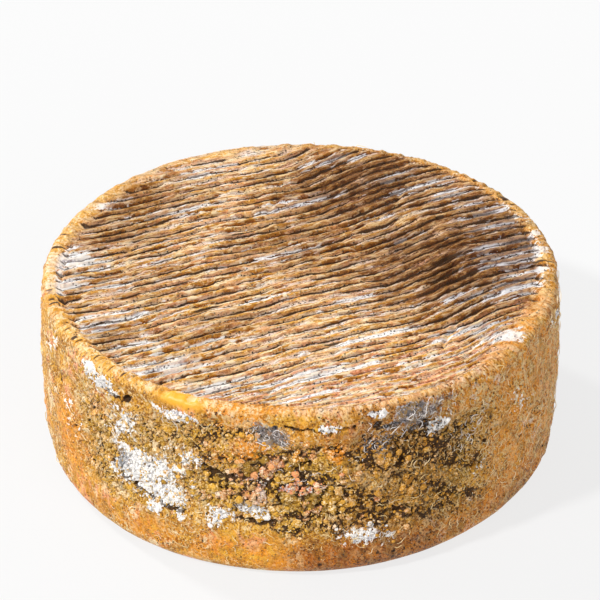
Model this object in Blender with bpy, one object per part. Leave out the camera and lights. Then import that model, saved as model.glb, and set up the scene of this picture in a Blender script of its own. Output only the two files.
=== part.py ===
"""A whole wheel of washed-rind cheese that was pressed and drained on a reed mat.

The wheel is one solid. Its upper face carries the mat's ridges, which run along X, its wall bellies a little
and is creased and sunken where the rind crumbled, and its underside is flat. The origin is the middle of the
underside, +Z is up, and every length is in metres.
"""

import math

import bmesh
import bpy
from mathutils import Matrix, Vector

# The wheel.
RADIUS = 0.120
HEIGHT = 0.087
LOBES = ((2, 0.0050, 0.6), (3, 0.0028, 2.2), (7, 0.0018, 0.9))  # count, share of the radius, start
BELLY = 0.0022  # how far the wall swells out at its widest
WIDEST = 0.42  # where that is, as a share of the height
FOOT_ROUND = 0.0075  # the edge that it stands on
RIM_ROUND = 0.0034  # the edge round the upper face
DISH = 0.0012  # how far the middle of the upper face has sunk

# The mat's print on the upper face.
REED_PITCH = 0.0054
UNEVEN_REEDS = ((1.7, 0.13, 0.0), (3.3, 0.09, 1.0))  # turn from reed to reed, share of the pitch, start
FINE_REEDS = 0.76  # the pitch along the -Y edge, as a share of the usual one
FINE_EDGE = (-0.95, -0.45)  # where the pitch changes, as shares of the face's radius
RIDGE_DEPTH = 0.0021
RIDGE_FULLNESS = 0.7  # under 1 the ridges are broad and the grooves between them narrow
WORN = 0.72  # the usual depth of the print, as a share of the full depth
WORN_PATCHES = 0.25  # how much more and less it is in patches
PATCH_LENGTH = 0.15  # from one worn patch to the next
SHALLOW_EDGE = (-0.100, -0.062)  # the strip along -Y where the print gets shallower, down to half
WAVE_LENGTH = 0.110  # from one hump of the reeds to the next
WAVE_START = -0.025  # where one hump stands, along X
WAVE_HEIGHT = 0.0007  # half the waves' height
RISE = 0.0080  # how far the reeds step aside on the +X side
RISE_EDGE = (0.028, 0.080)  # where they do, along X
RISE_BALANCE = 0.44  # the share of that step by which they lie back before it
SIDE_WAVE, SIDE_WAVE_LENGTH, SIDE_WAVE_SHIFT = 0.0005, 0.071, 0.16  # a second wave, and how it slips with Y
BEND = 0.4  # how closely the reeds along the -Y edge follow the rim
BEND_EDGE = (-0.112, -0.075)
PRINT_FADE = 0.007  # the strip inside the rim where the print dies away
RIM_PRINT = 0.35  # how much of the print is left at the rim itself
LIP_HEIGHT = 0.0007  # the raised lip round the face
LIP_WIDTH = 0.0042

# How finely the blank is cut.
COLUMNS = 120
WALL_ROWS = 11
CROSS_CUTS = 15
RIDGE_SHOULDER = 0.27  # where a ridge's side is cut, as a share of the way to the next crest
SNAP = 0.0004  # a cut passes through a corner that is nearer than this

# Sunken places in the wall: azimuth in degrees, height, half width, half height, depth, lean in degrees.
# The azimuth runs anticlockwise from +X.
HOLLOWS = (
    (213, 0.041, 0.018, 0.0105, 0.0034, -16),
    (237, 0.034, 0.010, 0.0050, 0.0026, -6),
    (272, 0.071, 0.016, 0.0085, 0.0026, 24),
    (208, 0.079, 0.017, 0.0040, 0.0018, -4),
    (181, 0.059, 0.006, 0.0075, 0.0026, 62),
    (306, 0.041, 0.010, 0.0038, 0.0020, 38),
    (352, 0.052, 0.020, 0.0090, 0.0022, 18),
    (48, 0.036, 0.016, 0.0110, 0.0030, -20),
    (77, 0.066, 0.012, 0.0060, 0.0024, 8),
    (118, 0.045, 0.022, 0.0085, 0.0026, 12),
    (146, 0.027, 0.010, 0.0055, 0.0020, -30),
)
# Creases pushed up by the cloth: azimuth and height of one end, the same of the other, rise, half width.
FOLDS = (
    (258, 0.080, 228, 0.066, 0.0016, 0.0042),
    (250, 0.064, 276, 0.030, 0.0017, 0.0050),
    (262, 0.062, 292, 0.026, 0.0013, 0.0040),
    (300, 0.070, 318, 0.030, 0.0009, 0.0050),
    (20, 0.072, 62, 0.030, 0.0013, 0.0052),
    (96, 0.030, 132, 0.068, 0.0012, 0.0046),
)
FOLD_TAPER = (-0.15, 0.20)  # the share of a crease's length over which its end dies away
BELT_DEPTH = 0.0017  # how far the crumbled belt lies behind the smooth rind above and below it
BELT_LOW, BELT_HIGH, BELT_EDGE = 0.30, 0.84, 0.09  # its edges and how soft they are, as shares of the height
BELT_MIDDLE = math.radians(240)  # the azimuth of the middle of one length of it; the other is opposite
BELT_ENDS = (-0.45, 0.25)  # how gradually a length of it ends
BELT_WANDER = ((4, 0.045, 1.1), (9, 0.030, 0.0))  # count round the wheel, share of the height, start
RELIEF_ABOVE_FOOT = (0.002, 0.012)  # the heights between which the wall's relief sets in
RELIEF_BELOW_RIM = (0.001, 0.007)  # the same, down from the upper face


def smooth(low, high, value):
    """0 up to low, 1 from high on, and an S-curve between them."""
    share = min(1.0, max(0.0, (value - low) / (high - low)))
    return share * share * (3 - 2 * share)


def waves(terms, turn):
    """The sum of a few sine waves, each given as how often it repeats, its height and its start."""
    return sum(height * math.sin(count * turn + start) for count, height, start in terms)


def turned(azimuth, other):
    """The turn in radians from one azimuth to another, the short way round."""
    return (azimuth - other + math.pi) % (2 * math.pi) - math.pi


def outline(azimuth):
    """The wheel's plan, as a factor on its radius: nearly round, with a few slow lobes."""
    return 1 + waves(LOBES, azimuth)


def rounding(depth, radius):
    """How far a quarter-round edge stands back, this deep from its face."""
    rest = max(0.0, radius - depth)
    return radius - math.sqrt(radius**2 - rest**2)


def belt(azimuth, height):
    """1 inside the crumbled belt and 0 on the smooth rind. The belt wanders, and breaks off in places."""
    share = height / HEIGHT + waves(BELT_WANDER, azimuth)
    across = smooth(BELT_LOW - BELT_EDGE, BELT_LOW + BELT_EDGE, share)
    across *= 1 - smooth(BELT_HIGH - BELT_EDGE, BELT_HIGH + BELT_EDGE, share)
    return across * smooth(*BELT_ENDS, math.cos(2 * (azimuth - BELT_MIDDLE)))


def hollows(azimuth, height):
    """How deep the sunken places reach here: each is a leaning oval bowl with a soft edge."""
    deepest = 0.0
    for degrees, middle, half_width, half_height, depth, lean in HOLLOWS:
        along = turned(azimuth, math.radians(degrees)) * RADIUS
        up = height - middle
        turn = math.radians(lean)
        across = (along * math.cos(turn) + up * math.sin(turn)) / half_width
        rise = (up * math.cos(turn) - along * math.sin(turn)) / half_height
        deepest = max(deepest, depth * math.exp(-((across**2 + rise**2) ** 1.5)))
    return deepest


def folds(azimuth, height):
    """How high the creases stand here: each is a rounded bar that tapers to both its ends."""
    highest = 0.0
    for first, first_height, last, last_height, rise, half_width in FOLDS:
        span = turned(math.radians(last), math.radians(first)) * RADIUS
        step = Vector((span, last_height - first_height))
        here = Vector((turned(azimuth, math.radians(first)) * RADIUS, height - first_height))
        share = here.dot(step) / step.length_squared
        off = (here - step * share).length / half_width
        taper = smooth(*FOLD_TAPER, share) * smooth(*FOLD_TAPER, 1 - share)
        highest = max(highest, rise * math.exp(-(off**2)) * taper)
    return highest


def wall_radius(azimuth, height):
    """The wall's distance from the axis."""
    swell = BELLY * (1 - ((height / HEIGHT - WIDEST) / max(WIDEST, 1 - WIDEST)) ** 2)
    edges = rounding(height, FOOT_ROUND) + rounding(HEIGHT - height, RIM_ROUND)
    relief = folds(azimuth, height) - hollows(azimuth, height) - BELT_DEPTH * belt(azimuth, height)
    clear_of_edges = smooth(*RELIEF_ABOVE_FOOT, height) * smooth(*RELIEF_BELOW_RIM, HEIGHT - height)
    return (RADIUS - BELLY + swell) * outline(azimuth) - edges + relief * clear_of_edges


def crests():
    """Where the ridges' crests cross the Y axis: the reeds are a little uneven, and finer towards -Y."""
    face = RADIUS - BELLY - RIM_ROUND
    places = [-face]
    while places[-1] < face:
        finer = FINE_REEDS + (1 - FINE_REEDS) * smooth(*FINE_EDGE, places[-1] / face)
        places.append(places[-1] + REED_PITCH * finer * (1 + waves(UNEVEN_REEDS, len(places))))
    return places


def wander(x, y):
    """How far a ridge has drifted in Y at this place.

    The mat's reeds lie in low waves, and step aside in an S-curve on the +X side. Along the -Y edge they bend to
    follow the rim.
    """
    drift = WAVE_HEIGHT * math.cos(2 * math.pi * (x - WAVE_START) / WAVE_LENGTH)
    drift += SIDE_WAVE * math.sin(2 * math.pi * (x / SIDE_WAVE_LENGTH - y / SIDE_WAVE_SHIFT))
    drift += RISE * (smooth(*RISE_EDGE, x) - RISE_BALANCE)
    return drift + BEND * x**2 / (2 * RADIUS) * (1 - smooth(*BEND_EDGE, y))


def ridge(y, places):
    """The print's height at a place across the reeds: 1 on a crest and 0 in a groove."""
    after = next((i for i, place in enumerate(places) if place > y), len(places) - 1)
    before = max(after - 1, 0)
    width = max(places[after] - places[before], REED_PITCH / 2)
    return abs(math.cos(math.pi * (y - places[before]) / width)) ** RIDGE_FULLNESS


def print_depth(x, y):
    """How deep the print is: shallower in worn patches, and shallowest along the -Y edge."""
    turn = 2 * math.pi / PATCH_LENGTH
    worn = WORN + WORN_PATCHES * math.sin(turn * x + 1) * math.sin(turn * y)
    return RIDGE_DEPTH * worn * (1 + smooth(*SHALLOW_EDGE, y)) / 2


def face_point(x, y, places):
    """Where a point of the flat upper disc ends up: drifted with the reeds, printed, dished and lipped."""
    face = RADIUS - BELLY - RIM_ROUND
    share = min(1.0, math.hypot(x, y) / face)
    inwards = (1 - share) * face
    inside = smooth(0.0, PRINT_FADE, inwards)
    groove = print_depth(x, y) * (1 - ridge(y, places)) * (RIM_PRINT + (1 - RIM_PRINT) * inside)
    lip = LIP_HEIGHT * math.exp(-((inwards / LIP_WIDTH) ** 2)) * (1 - share**24)
    height = HEIGHT - DISH * (1 - share**2) - groove + lip
    stretch = 1 + (outline(math.atan2(y, x)) - 1) * smooth(0.3, 1.0, share)
    return Vector((x * stretch, (y + wander(x, y) * inside) * stretch, height))


def cut(mesh, faces, point, normal):
    """Cuts these faces of the mesh where a plane crosses them."""
    parts = set(faces)
    for face in faces:
        parts.update(face.edges, face.verts)
    bmesh.ops.bisect_plane(mesh, geom=list(parts), dist=SNAP, plane_co=point, plane_no=normal)


def wall_heights():
    """The heights of the wall's rows: even between the edges, and closer round them."""
    even = [FOOT_ROUND + (HEIGHT - FOOT_ROUND - RIM_ROUND) * row / WALL_ROWS for row in range(WALL_ROWS + 1)]
    foot = [FOOT_ROUND * share for share in (0.12, 0.45)]
    rim = [HEIGHT - RIM_ROUND * share for share in (0.45, 0.12)]
    return foot + even + rim


def blank(places):
    """A cylinder, cut into rows round its wall and, on its upper face, along and across the ridges."""
    mesh = bmesh.new()
    bmesh.ops.create_cone(
        mesh,
        cap_ends=True,
        segments=COLUMNS,
        radius1=RADIUS,
        radius2=RADIUS,
        depth=HEIGHT,
        matrix=Matrix.Translation((0, 0, HEIGHT / 2)),
    )
    for height in wall_heights():
        cut(mesh, list(mesh.faces), (0, 0, height), (0, 0, 1))
    grow = RADIUS / (RADIUS - BELLY - RIM_ROUND)  # the blank's face is wider than the finished one
    for before, after in zip(places, places[1:]):
        for share in (0, RIDGE_SHOULDER, 0.5, 1 - RIDGE_SHOULDER):
            y = before + (after - before) * share
            cut(mesh, upper_faces(mesh), (0, y * grow, 0), (0, 1, 0))
    for number in range(1, CROSS_CUTS + 1):
        x = RADIUS * (2 * number / (CROSS_CUTS + 1) - 1)
        cut(mesh, upper_faces(mesh), (x, 0, 0), (1, 0, 0))
    return mesh


def upper_faces(mesh):
    """The faces that make up the blank's flat top."""
    return [face for face in mesh.faces if face.calc_center_median().z > HEIGHT - SNAP / 4]


def shape(mesh, places):
    """Moves every corner of the blank onto the finished surface."""
    shrink = (RADIUS - BELLY - RIM_ROUND) / RADIUS
    for corner in mesh.verts:
        x, y, height = corner.co
        if height > HEIGHT - SNAP / 4:
            corner.co = face_point(x * shrink, y * shrink, places)
            continue
        azimuth = math.atan2(y, x)
        radius = wall_radius(azimuth, height)
        corner.co = Vector((radius * math.cos(azimuth), radius * math.sin(azimuth), height))


def centre(mesh):
    """Moves the wheel in X and Y until the middle of its box is over the origin."""
    for axis in (0, 1):
        places = [corner.co[axis] for corner in mesh.verts]
        middle = (min(places) + max(places)) / 2
        for corner in mesh.verts:
            corner.co[axis] -= middle


def rind_material():
    """The washed rind's mean colour: a dull golden tan."""
    material = bpy.data.materials.new("washed_rind")
    material.use_nodes = True
    surface = material.node_tree.nodes["Principled BSDF"]
    surface.inputs["Base Color"].default_value = (0.50, 0.28, 0.10, 1)
    surface.inputs["Roughness"].default_value = 0.72
    surface.inputs["Metallic"].default_value = 0.0
    return material


def cheese_wheel():
    """The wheel as one closed solid."""
    places = crests()
    mesh = blank(places)
    shape(mesh, places)
    centre(mesh)
    bmesh.ops.recalc_face_normals(mesh, faces=mesh.faces)
    data = bpy.data.meshes.new("cheese_wheel")
    mesh.to_mesh(data)
    mesh.free()
    data.materials.append(rind_material())
    data.shade_smooth()
    data.set_sharp_from_angle(angle=math.radians(60))
    return bpy.data.objects.new("cheese_wheel", data)


def main():
    for item in list(bpy.data.objects):
        bpy.data.objects.remove(item)
    collection = bpy.data.collections.new("washed_rind_cheese")
    bpy.context.scene.collection.children.link(collection)
    collection.objects.link(cheese_wheel())


main()
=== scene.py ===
"""A whole wheel of washed-rind cheese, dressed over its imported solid.

Two closed surfaces make up the wheel: the wall with its foot, rim and lip, and the face that the reed mat
printed, which lies flush behind the lip. Crumbs and threads of mould are pieces of their own. All lengths
are metres, +Z is up, and azimuths run anticlockwise from +X, along which the reeds lie.
"""

import math
from itertools import combinations, zip_longest

import bpy
import numpy as np
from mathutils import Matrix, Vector


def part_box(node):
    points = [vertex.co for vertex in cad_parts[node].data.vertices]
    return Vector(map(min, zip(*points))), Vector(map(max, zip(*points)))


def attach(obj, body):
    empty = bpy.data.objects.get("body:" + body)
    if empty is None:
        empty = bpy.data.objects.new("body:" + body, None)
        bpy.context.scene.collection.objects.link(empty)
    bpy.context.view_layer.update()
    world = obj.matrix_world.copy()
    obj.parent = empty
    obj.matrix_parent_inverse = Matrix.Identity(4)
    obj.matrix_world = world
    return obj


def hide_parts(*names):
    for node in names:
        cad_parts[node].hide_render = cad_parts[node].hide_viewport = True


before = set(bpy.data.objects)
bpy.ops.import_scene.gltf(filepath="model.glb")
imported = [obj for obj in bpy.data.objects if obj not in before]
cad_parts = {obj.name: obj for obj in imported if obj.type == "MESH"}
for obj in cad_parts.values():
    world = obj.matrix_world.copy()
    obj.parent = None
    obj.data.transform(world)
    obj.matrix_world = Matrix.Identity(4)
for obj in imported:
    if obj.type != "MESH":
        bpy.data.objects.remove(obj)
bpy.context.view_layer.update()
SOLID_LOW, SOLID_HIGH = (np.array(corner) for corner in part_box("cheese_wheel"))

# ---------------------------------------------------------------- the wheel's form, as the solid has it

HEIGHT = float(SOLID_HIGH[2] - SOLID_LOW[2])
RADIUS = 0.120
LOBES = ((2, 0.0050, 0.6), (3, 0.0028, 2.2), (7, 0.0018, 0.9))  # count, share of the radius, start
BELLY, WIDEST = 0.0022, 0.42  # how far the wall swells, and at which share of the height it is widest
FOOT_ROUND, RIM_ROUND = 0.0075, 0.0034
DISH = 0.0012  # how far the upper face sinks in its middle
FACE = RADIUS - BELLY - RIM_ROUND  # the upper face's radius

REED_PITCH = 0.0054
UNEVEN_REEDS = ((1.7, 0.13, 0.0), (3.3, 0.09, 1.0))  # turn from reed to reed, share of the pitch, start
FINE_REEDS, FINE_EDGE = 0.76, (-0.95, -0.45)  # the pitch's share at -Y, and where it grows, as shares of FACE
RIDGE_DEPTH = 0.0021
WORN, WORN_PATCHES, PATCH_LENGTH = 0.72, 0.25, 0.15
SHALLOW_EDGE = (-0.100, -0.062)  # between these places on Y the print reaches its full depth
WAVE_LENGTH, WAVE_START, WAVE_HEIGHT = 0.110, -0.025, 0.0007
RISE, RISE_EDGE, RISE_BALANCE = 0.0080, (0.028, 0.080), 0.44  # the S-shaped step towards +X
SIDE_WAVE, SIDE_WAVE_LENGTH, SIDE_WAVE_SHIFT = 0.0005, 0.071, 0.16
BEND, BEND_EDGE = 0.4, (-0.112, -0.075)
LIP_HEIGHT, LIP_WIDTH = 0.0007, 0.0042

# Sunken places in the wall: azimuth in degrees, height, half width, half height, depth, lean in degrees.
HOLLOWS = (
    (213, 0.041, 0.018, 0.0105, 0.0034, -16),
    (237, 0.034, 0.010, 0.0050, 0.0026, -6),
    (272, 0.071, 0.016, 0.0085, 0.0026, 24),
    (208, 0.079, 0.017, 0.0040, 0.0018, -4),
    (181, 0.059, 0.006, 0.0075, 0.0026, 62),
    (306, 0.041, 0.010, 0.0038, 0.0020, 38),
    (352, 0.052, 0.020, 0.0090, 0.0022, 18),
    (48, 0.036, 0.016, 0.0110, 0.0030, -20),
    (77, 0.066, 0.012, 0.0060, 0.0024, 8),
    (118, 0.045, 0.022, 0.0085, 0.0026, 12),
    (146, 0.027, 0.010, 0.0055, 0.0020, -30),
)
# Creases pushed up by the cloth: azimuth and height of one end, the same of the other, rise, half width.
FOLDS = (
    (258, 0.080, 228, 0.066, 0.0016, 0.0042),
    (250, 0.064, 276, 0.030, 0.0017, 0.0050),
    (262, 0.062, 292, 0.026, 0.0013, 0.0040),
    (300, 0.070, 318, 0.030, 0.0009, 0.0050),
    (20, 0.072, 62, 0.030, 0.0013, 0.0052),
    (96, 0.030, 132, 0.068, 0.0012, 0.0046),
)
FOLD_TAPER = (-0.15, 0.20)  # shares of a crease's length
BELT_DEPTH = 0.0017
BELT_LOW, BELT_HIGH, BELT_EDGE = 0.30, 0.84, 0.09  # shares of the height
BELT_MIDDLE, BELT_ENDS = math.radians(240), (-0.45, 0.25)
BELT_WANDER = ((4, 0.045, 1.1), (9, 0.030, 0.0))
RELIEF_ABOVE_FOOT, RELIEF_BELOW_RIM = (0.002, 0.012), (0.001, 0.007)


def smooth(low, high, value):
    """0 up to low, 1 from high on, and an S-curve between them. low may be the greater of the two."""
    share = np.clip((value - low) / (high - low), 0, 1)
    return share * share * (3 - 2 * share)


def bell(value, middle, width, power=2):
    """exp(-((value - middle) / width)^power): 1 at the middle, falling away on both sides of it."""
    return np.exp(-(((value - middle) / width) ** power))


def waves(terms, turn):
    """The sum of a few sine waves, each given as how often it repeats, its height and its start."""
    return sum(height * np.sin(count * turn + start) for count, height, start in terms)


def turned(azimuth, other):
    """The turn in radians from one azimuth to another, the short way round."""
    return (azimuth - other + math.pi) % (2 * math.pi) - math.pi


def outline(azimuth):
    """The wheel's plan, as a factor on its radius: nearly round, with a few slow lobes."""
    return 1 + waves(LOBES, azimuth)


def rounding(depth, radius):
    """How far a quarter-round edge stands back, this deep from its face."""
    rest = np.clip(radius - depth, 0, None)
    return radius - np.sqrt(radius**2 - rest**2)


def belt(azimuth, height):
    """1 inside the crumbled belt and 0 on the smooth rind. The belt wanders, and breaks off in places."""
    share = height / HEIGHT + waves(BELT_WANDER, azimuth)
    across = smooth(BELT_LOW - BELT_EDGE, BELT_LOW + BELT_EDGE, share)
    across = across * (1 - smooth(BELT_HIGH - BELT_EDGE, BELT_HIGH + BELT_EDGE, share))
    return across * smooth(*BELT_ENDS, np.cos(2 * (azimuth - BELT_MIDDLE)))


def oval(azimuth, height, degrees, middle, half_width, half_height, lean):
    """How far out a place on the wall lies from a leaning oval's middle: 0 there and 1 on its edge."""
    along = turned(azimuth, math.radians(degrees)) * RADIUS
    up = height - middle
    turn = math.radians(lean)
    across = (along * math.cos(turn) + up * math.sin(turn)) / half_width
    rise = (up * math.cos(turn) - along * math.sin(turn)) / half_height
    return np.hypot(across, rise)


def hollows(azimuth, height):
    """How deep the sunken places reach here: each is a leaning oval bowl with a soft edge."""
    deepest = np.zeros_like(height)
    for degrees, middle, half_width, half_height, depth, lean in HOLLOWS:
        out = oval(azimuth, height, degrees, middle, half_width, half_height, lean)
        deepest = np.maximum(deepest, depth * bell(out, 0, 1, 3))
    return deepest


def along_line(across, up, start, end):
    """For places on a flat sheet: the share of the way from start to end, and the distance off that line."""
    step = np.subtract(end, start)
    share = ((across - start[0]) * step[0] + (up - start[1]) * step[1]) / (step @ step)
    off = np.hypot(across - start[0] - share * step[0], up - start[1] - share * step[1])
    return share, off


def folds(azimuth, height):
    """How high the creases stand here: each is a rounded bar that tapers to both its ends."""
    highest = np.zeros_like(height)
    for first, first_height, last, last_height, rise, half_width in FOLDS:
        span = float(turned(math.radians(last), math.radians(first))) * RADIUS
        along = turned(azimuth, math.radians(first)) * RADIUS
        share, off = along_line(along, height, (0, first_height), (span, last_height))
        taper = smooth(*FOLD_TAPER, share) * smooth(*FOLD_TAPER, 1 - share)
        highest = np.maximum(highest, rise * bell(off, 0, half_width) * taper)
    return highest


def wall_radius(azimuth, height):
    """The wall's distance from the axis."""
    swell = BELLY * (1 - ((height / HEIGHT - WIDEST) / max(WIDEST, 1 - WIDEST)) ** 2)
    edges = rounding(height, FOOT_ROUND) + rounding(HEIGHT - height, RIM_ROUND)
    relief = folds(azimuth, height) - hollows(azimuth, height) - BELT_DEPTH * belt(azimuth, height)
    clear_of_edges = smooth(*RELIEF_ABOVE_FOOT, height) * smooth(*RELIEF_BELOW_RIM, HEIGHT - height)
    return (RADIUS - BELLY + swell) * outline(azimuth) - edges + relief * clear_of_edges


def crests():
    """Where the ridges' crests cross the Y axis: the reeds are a little uneven, and finer towards -Y."""
    places = [-FACE]
    while places[-1] < FACE:
        finer = FINE_REEDS + (1 - FINE_REEDS) * float(smooth(*FINE_EDGE, places[-1] / FACE))
        places.append(places[-1] + REED_PITCH * finer * float(1 + waves(UNEVEN_REEDS, len(places))))
    return np.array(places)


CRESTS = crests()


def wander(x, y):
    """How far a ridge has drifted in Y here: low waves, an S-shaped step at +X, and a bend along -Y."""
    drift = WAVE_HEIGHT * np.cos(2 * math.pi * (x - WAVE_START) / WAVE_LENGTH)
    drift = drift + SIDE_WAVE * np.sin(2 * math.pi * (x / SIDE_WAVE_LENGTH - y / SIDE_WAVE_SHIFT))
    drift = drift + RISE * (smooth(*RISE_EDGE, x) - RISE_BALANCE)
    return drift + BEND * x**2 / (2 * RADIUS) * (1 - smooth(*BEND_EDGE, y))


def print_depth(x, y):
    """How deep the print is: shallower in worn patches, and shallowest along the -Y edge."""
    turn = 2 * math.pi / PATCH_LENGTH
    worn = WORN + WORN_PATCHES * np.sin(turn * x + 1) * np.sin(turn * y)
    return RIDGE_DEPTH * worn * (1 + smooth(*SHALLOW_EDGE, y)) / 2


# ---------------------------------------------------------------- patterns for relief that no form gives

EDGE_WAYS = np.array([(1, 1, 0), (-1, 1, 0), (1, -1, 0), (-1, -1, 0), (1, 0, 1), (-1, 0, 1),
                      (1, 0, -1), (-1, 0, -1), (0, 1, 1), (0, -1, 1), (0, 1, -1), (0, -1, -1)], float)
BIT_MIXERS = (0x9E3779B1, 0x85EBCA77, 0xC2B2AE3D, 0x27D4EB2F)


def scrambled(cell, seed):
    """A random number from 0 to 1 for each whole-number cell, by mixing the bits of its indices."""
    mixed = np.full(cell.shape[:-1], seed * BIT_MIXERS[3] & 0xFFFFFFFF, np.uint32)
    for axis in range(cell.shape[-1]):
        mixed = mixed ^ cell[..., axis].astype(np.uint32) * np.uint32(BIT_MIXERS[axis])
    for shift, mixer in ((15, 0x2C1B3C6D), (12, 0x297A2D39), (15, 1)):
        mixed = (mixed ^ (mixed >> np.uint32(shift))) * np.uint32(mixer)
    return mixed / 2.0**32


def swell_noise(places, seed=0):
    """Gradient noise, about -1 to 1: each lattice corner slopes its own way, and the slopes are blended."""
    cell = np.floor(places).astype(np.int64)
    rest = places - cell
    blend = rest**3 * (rest * (rest * 6 - 15) + 10)
    total = np.zeros(places.shape[:-1])
    for corner in np.ndindex(2, 2, 2):
        way = EDGE_WAYS[(scrambled(cell + corner, seed) * len(EDGE_WAYS)).astype(int)]
        weight = np.prod(np.where(corner, blend, 1 - blend), axis=-1)
        total += weight * ((rest - corner) * way).sum(-1)
    return total


def layered_noise(places, layers, seed=0):
    """Gradient noise with finer and fainter layers on it, each half the size and height of the one before."""
    return sum(swell_noise(places * 2**n + 17.3 * n, seed + n) / 2**n for n in range(layers))


def grains(places, seed=0):
    """A scatter of one point to each cell: how far the nearest one is, in cells, and its random number."""
    cell = np.floor(places).astype(np.int64)
    nearest = np.full(places.shape[:-1], 9.0)
    number = np.zeros_like(nearest)
    for step in np.ndindex(*[3] * places.shape[-1]):
        home = cell + np.array(step) - 1
        point = home + np.stack([scrambled(home, seed + 1 + axis) for axis in range(home.shape[-1])], -1)
        gap = np.linalg.norm(places - point, axis=-1)
        number = np.where(gap < nearest, scrambled(home, seed), number)
        nearest = np.minimum(nearest, gap)
    return nearest, number


def chunks(places, seed=0):
    """Broken lumps, one to a cell: how near a place is to its lump's edge, the lump's top, and its number.

    The edge is 0 in the gaps, where the two nearest points of a scatter are equally far, and 1 on the lump.
    The top is the lump's random number, tilted by a random slope: number + slope . (place - point).
    """
    cell = np.floor(places).astype(np.int64)
    nearest = np.full(places.shape[:-1], 9.0)
    second, number, tilt = nearest.copy(), np.zeros_like(nearest), np.zeros_like(nearest)
    for step in np.ndindex(3, 3, 3):
        home = cell + np.array(step) - 1
        draws = [scrambled(home, seed + 1 + axis) for axis in range(3)]
        way = places - home - np.stack(draws, -1)
        gap = np.linalg.norm(way, axis=-1)
        closer = gap < nearest
        second = np.where(closer, nearest, np.minimum(second, gap))
        slope = (way * (np.stack(draws[1:] + draws[:1], -1) - 0.5)).sum(-1)
        number = np.where(closer, scrambled(home, seed), number)
        tilt = np.where(closer, slope, tilt)
        nearest = np.where(closer, gap, nearest)
    edge = np.clip((second - nearest) / 0.30, 0, 1) ** 0.7
    return edge, number + 1.4 * tilt, number


def domes(places, reach, seed=0, roundness=0.6):
    """Rounded grains of 0 to 1, one to a cell and this many cells in radius, with each grain's number."""
    gap, number = grains(places, seed)
    return np.clip(1 - (gap / reach) ** 2, 0, 1) ** roundness, number


# ---------------------------------------------------------------- where the rind changes

# Patches on the wall: azimuth in degrees, height, half width, half height, lean in degrees, strength.
WHITE_PATCHES = (
    (213, 0.0405, 0.021, 0.0130, -18, 1.25), (206, 0.0640, 0.011, 0.0105, 30, 0.62),
    (222, 0.0580, 0.009, 0.0055, -10, 0.62), (199, 0.0810, 0.014, 0.0042, -10, 1.0),
    (221, 0.0795, 0.012, 0.0032, -3, 0.95), (229, 0.0320, 0.008, 0.0060, 0, 0.8),
    (237, 0.0345, 0.008, 0.0038, -8, 1.0), (252, 0.0800, 0.007, 0.0026, 8, 0.95),
    (260, 0.0210, 0.014, 0.0062, -12, 0.72), (276, 0.0700, 0.008, 0.0045, 20, 0.6),
    (262, 0.0840, 0.008, 0.0026, 0, 0.8), (288, 0.0400, 0.012, 0.0020, 28, 0.5),
    (178, 0.0740, 0.012, 0.0060, 40, 0.5), (188, 0.0500, 0.010, 0.0120, 60, 0.45),
    (300, 0.0600, 0.013, 0.0070, -30, 0.42), (322, 0.0780, 0.014, 0.0040, -6, 0.75),
    (345, 0.0500, 0.020, 0.0085, 18, 0.85), (8, 0.0300, 0.012, 0.0060, -10, 0.6),
    (46, 0.0370, 0.017, 0.0105, -20, 1.0), (64, 0.0810, 0.014, 0.0032, 4, 0.9),
    (78, 0.0640, 0.011, 0.0060, 8, 0.6), (117, 0.0450, 0.022, 0.0080, 12, 0.95),
    (104, 0.0780, 0.009, 0.0035, 0, 0.7), (146, 0.0280, 0.011, 0.0055, -30, 0.8),
    (158, 0.0700, 0.012, 0.0060, 24, 0.6),
)
GREY_PATCHES = (
    (240, 0.0755, 0.011, 0.0065, 0, 0.95), (271, 0.0785, 0.018, 0.0095, 10, 1.05),
    (264, 0.0700, 0.019, 0.0090, 18, 0.60), (284, 0.0600, 0.013, 0.0050, 30, 0.5),
    (205, 0.0450, 0.004, 0.0080, 20, 0.8), (216, 0.0755, 0.010, 0.0035, 0, 0.55),
    (246, 0.0550, 0.012, 0.0070, -30, 0.35), (236, 0.0350, 0.010, 0.0045, 0, 0.55),
    (262, 0.0230, 0.012, 0.0050, 0, 0.4), (201, 0.0780, 0.006, 0.0040, 0, 0.5),
    (20, 0.0700, 0.016, 0.0080, -20, 0.8), (92, 0.0600, 0.012, 0.0060, 20, 0.7),
    (50, 0.0340, 0.013, 0.0060, -20, 0.5), (133, 0.0740, 0.011, 0.0055, 0, 0.6),
    (334, 0.0300, 0.010, 0.0050, 20, 0.5),
)
ORANGE_PATCHES = (
    (188, 0.0360, 0.018, 0.0230, 8, 0.95), (199, 0.0660, 0.008, 0.0100, 0, 0.7),
    (222, 0.0120, 0.070, 0.0110, 0, 0.7), (236, 0.0670, 0.026, 0.0100, 14, 1.0),
    (232, 0.0820, 0.016, 0.0075, 0, 1.0), (254, 0.0700, 0.016, 0.0080, -10, 1.0),
    (250, 0.0120, 0.050, 0.0110, 0, 0.85), (296, 0.0450, 0.022, 0.0200, 30, 0.85),
    (312, 0.0650, 0.018, 0.0140, 0, 0.7), (300, 0.0180, 0.040, 0.0110, 0, 0.9),
    (330, 0.0550, 0.020, 0.0170, 0, 0.6), (20, 0.0180, 0.050, 0.0120, 0, 0.8),
    (34, 0.0660, 0.016, 0.0120, 0, 0.7), (88, 0.0300, 0.024, 0.0150, 20, 0.8),
    (140, 0.0500, 0.020, 0.0180, 0, 0.8), (120, 0.0140, 0.060, 0.0100, 0, 0.7),
    (168, 0.0300, 0.016, 0.0160, 0, 0.7),
)
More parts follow.
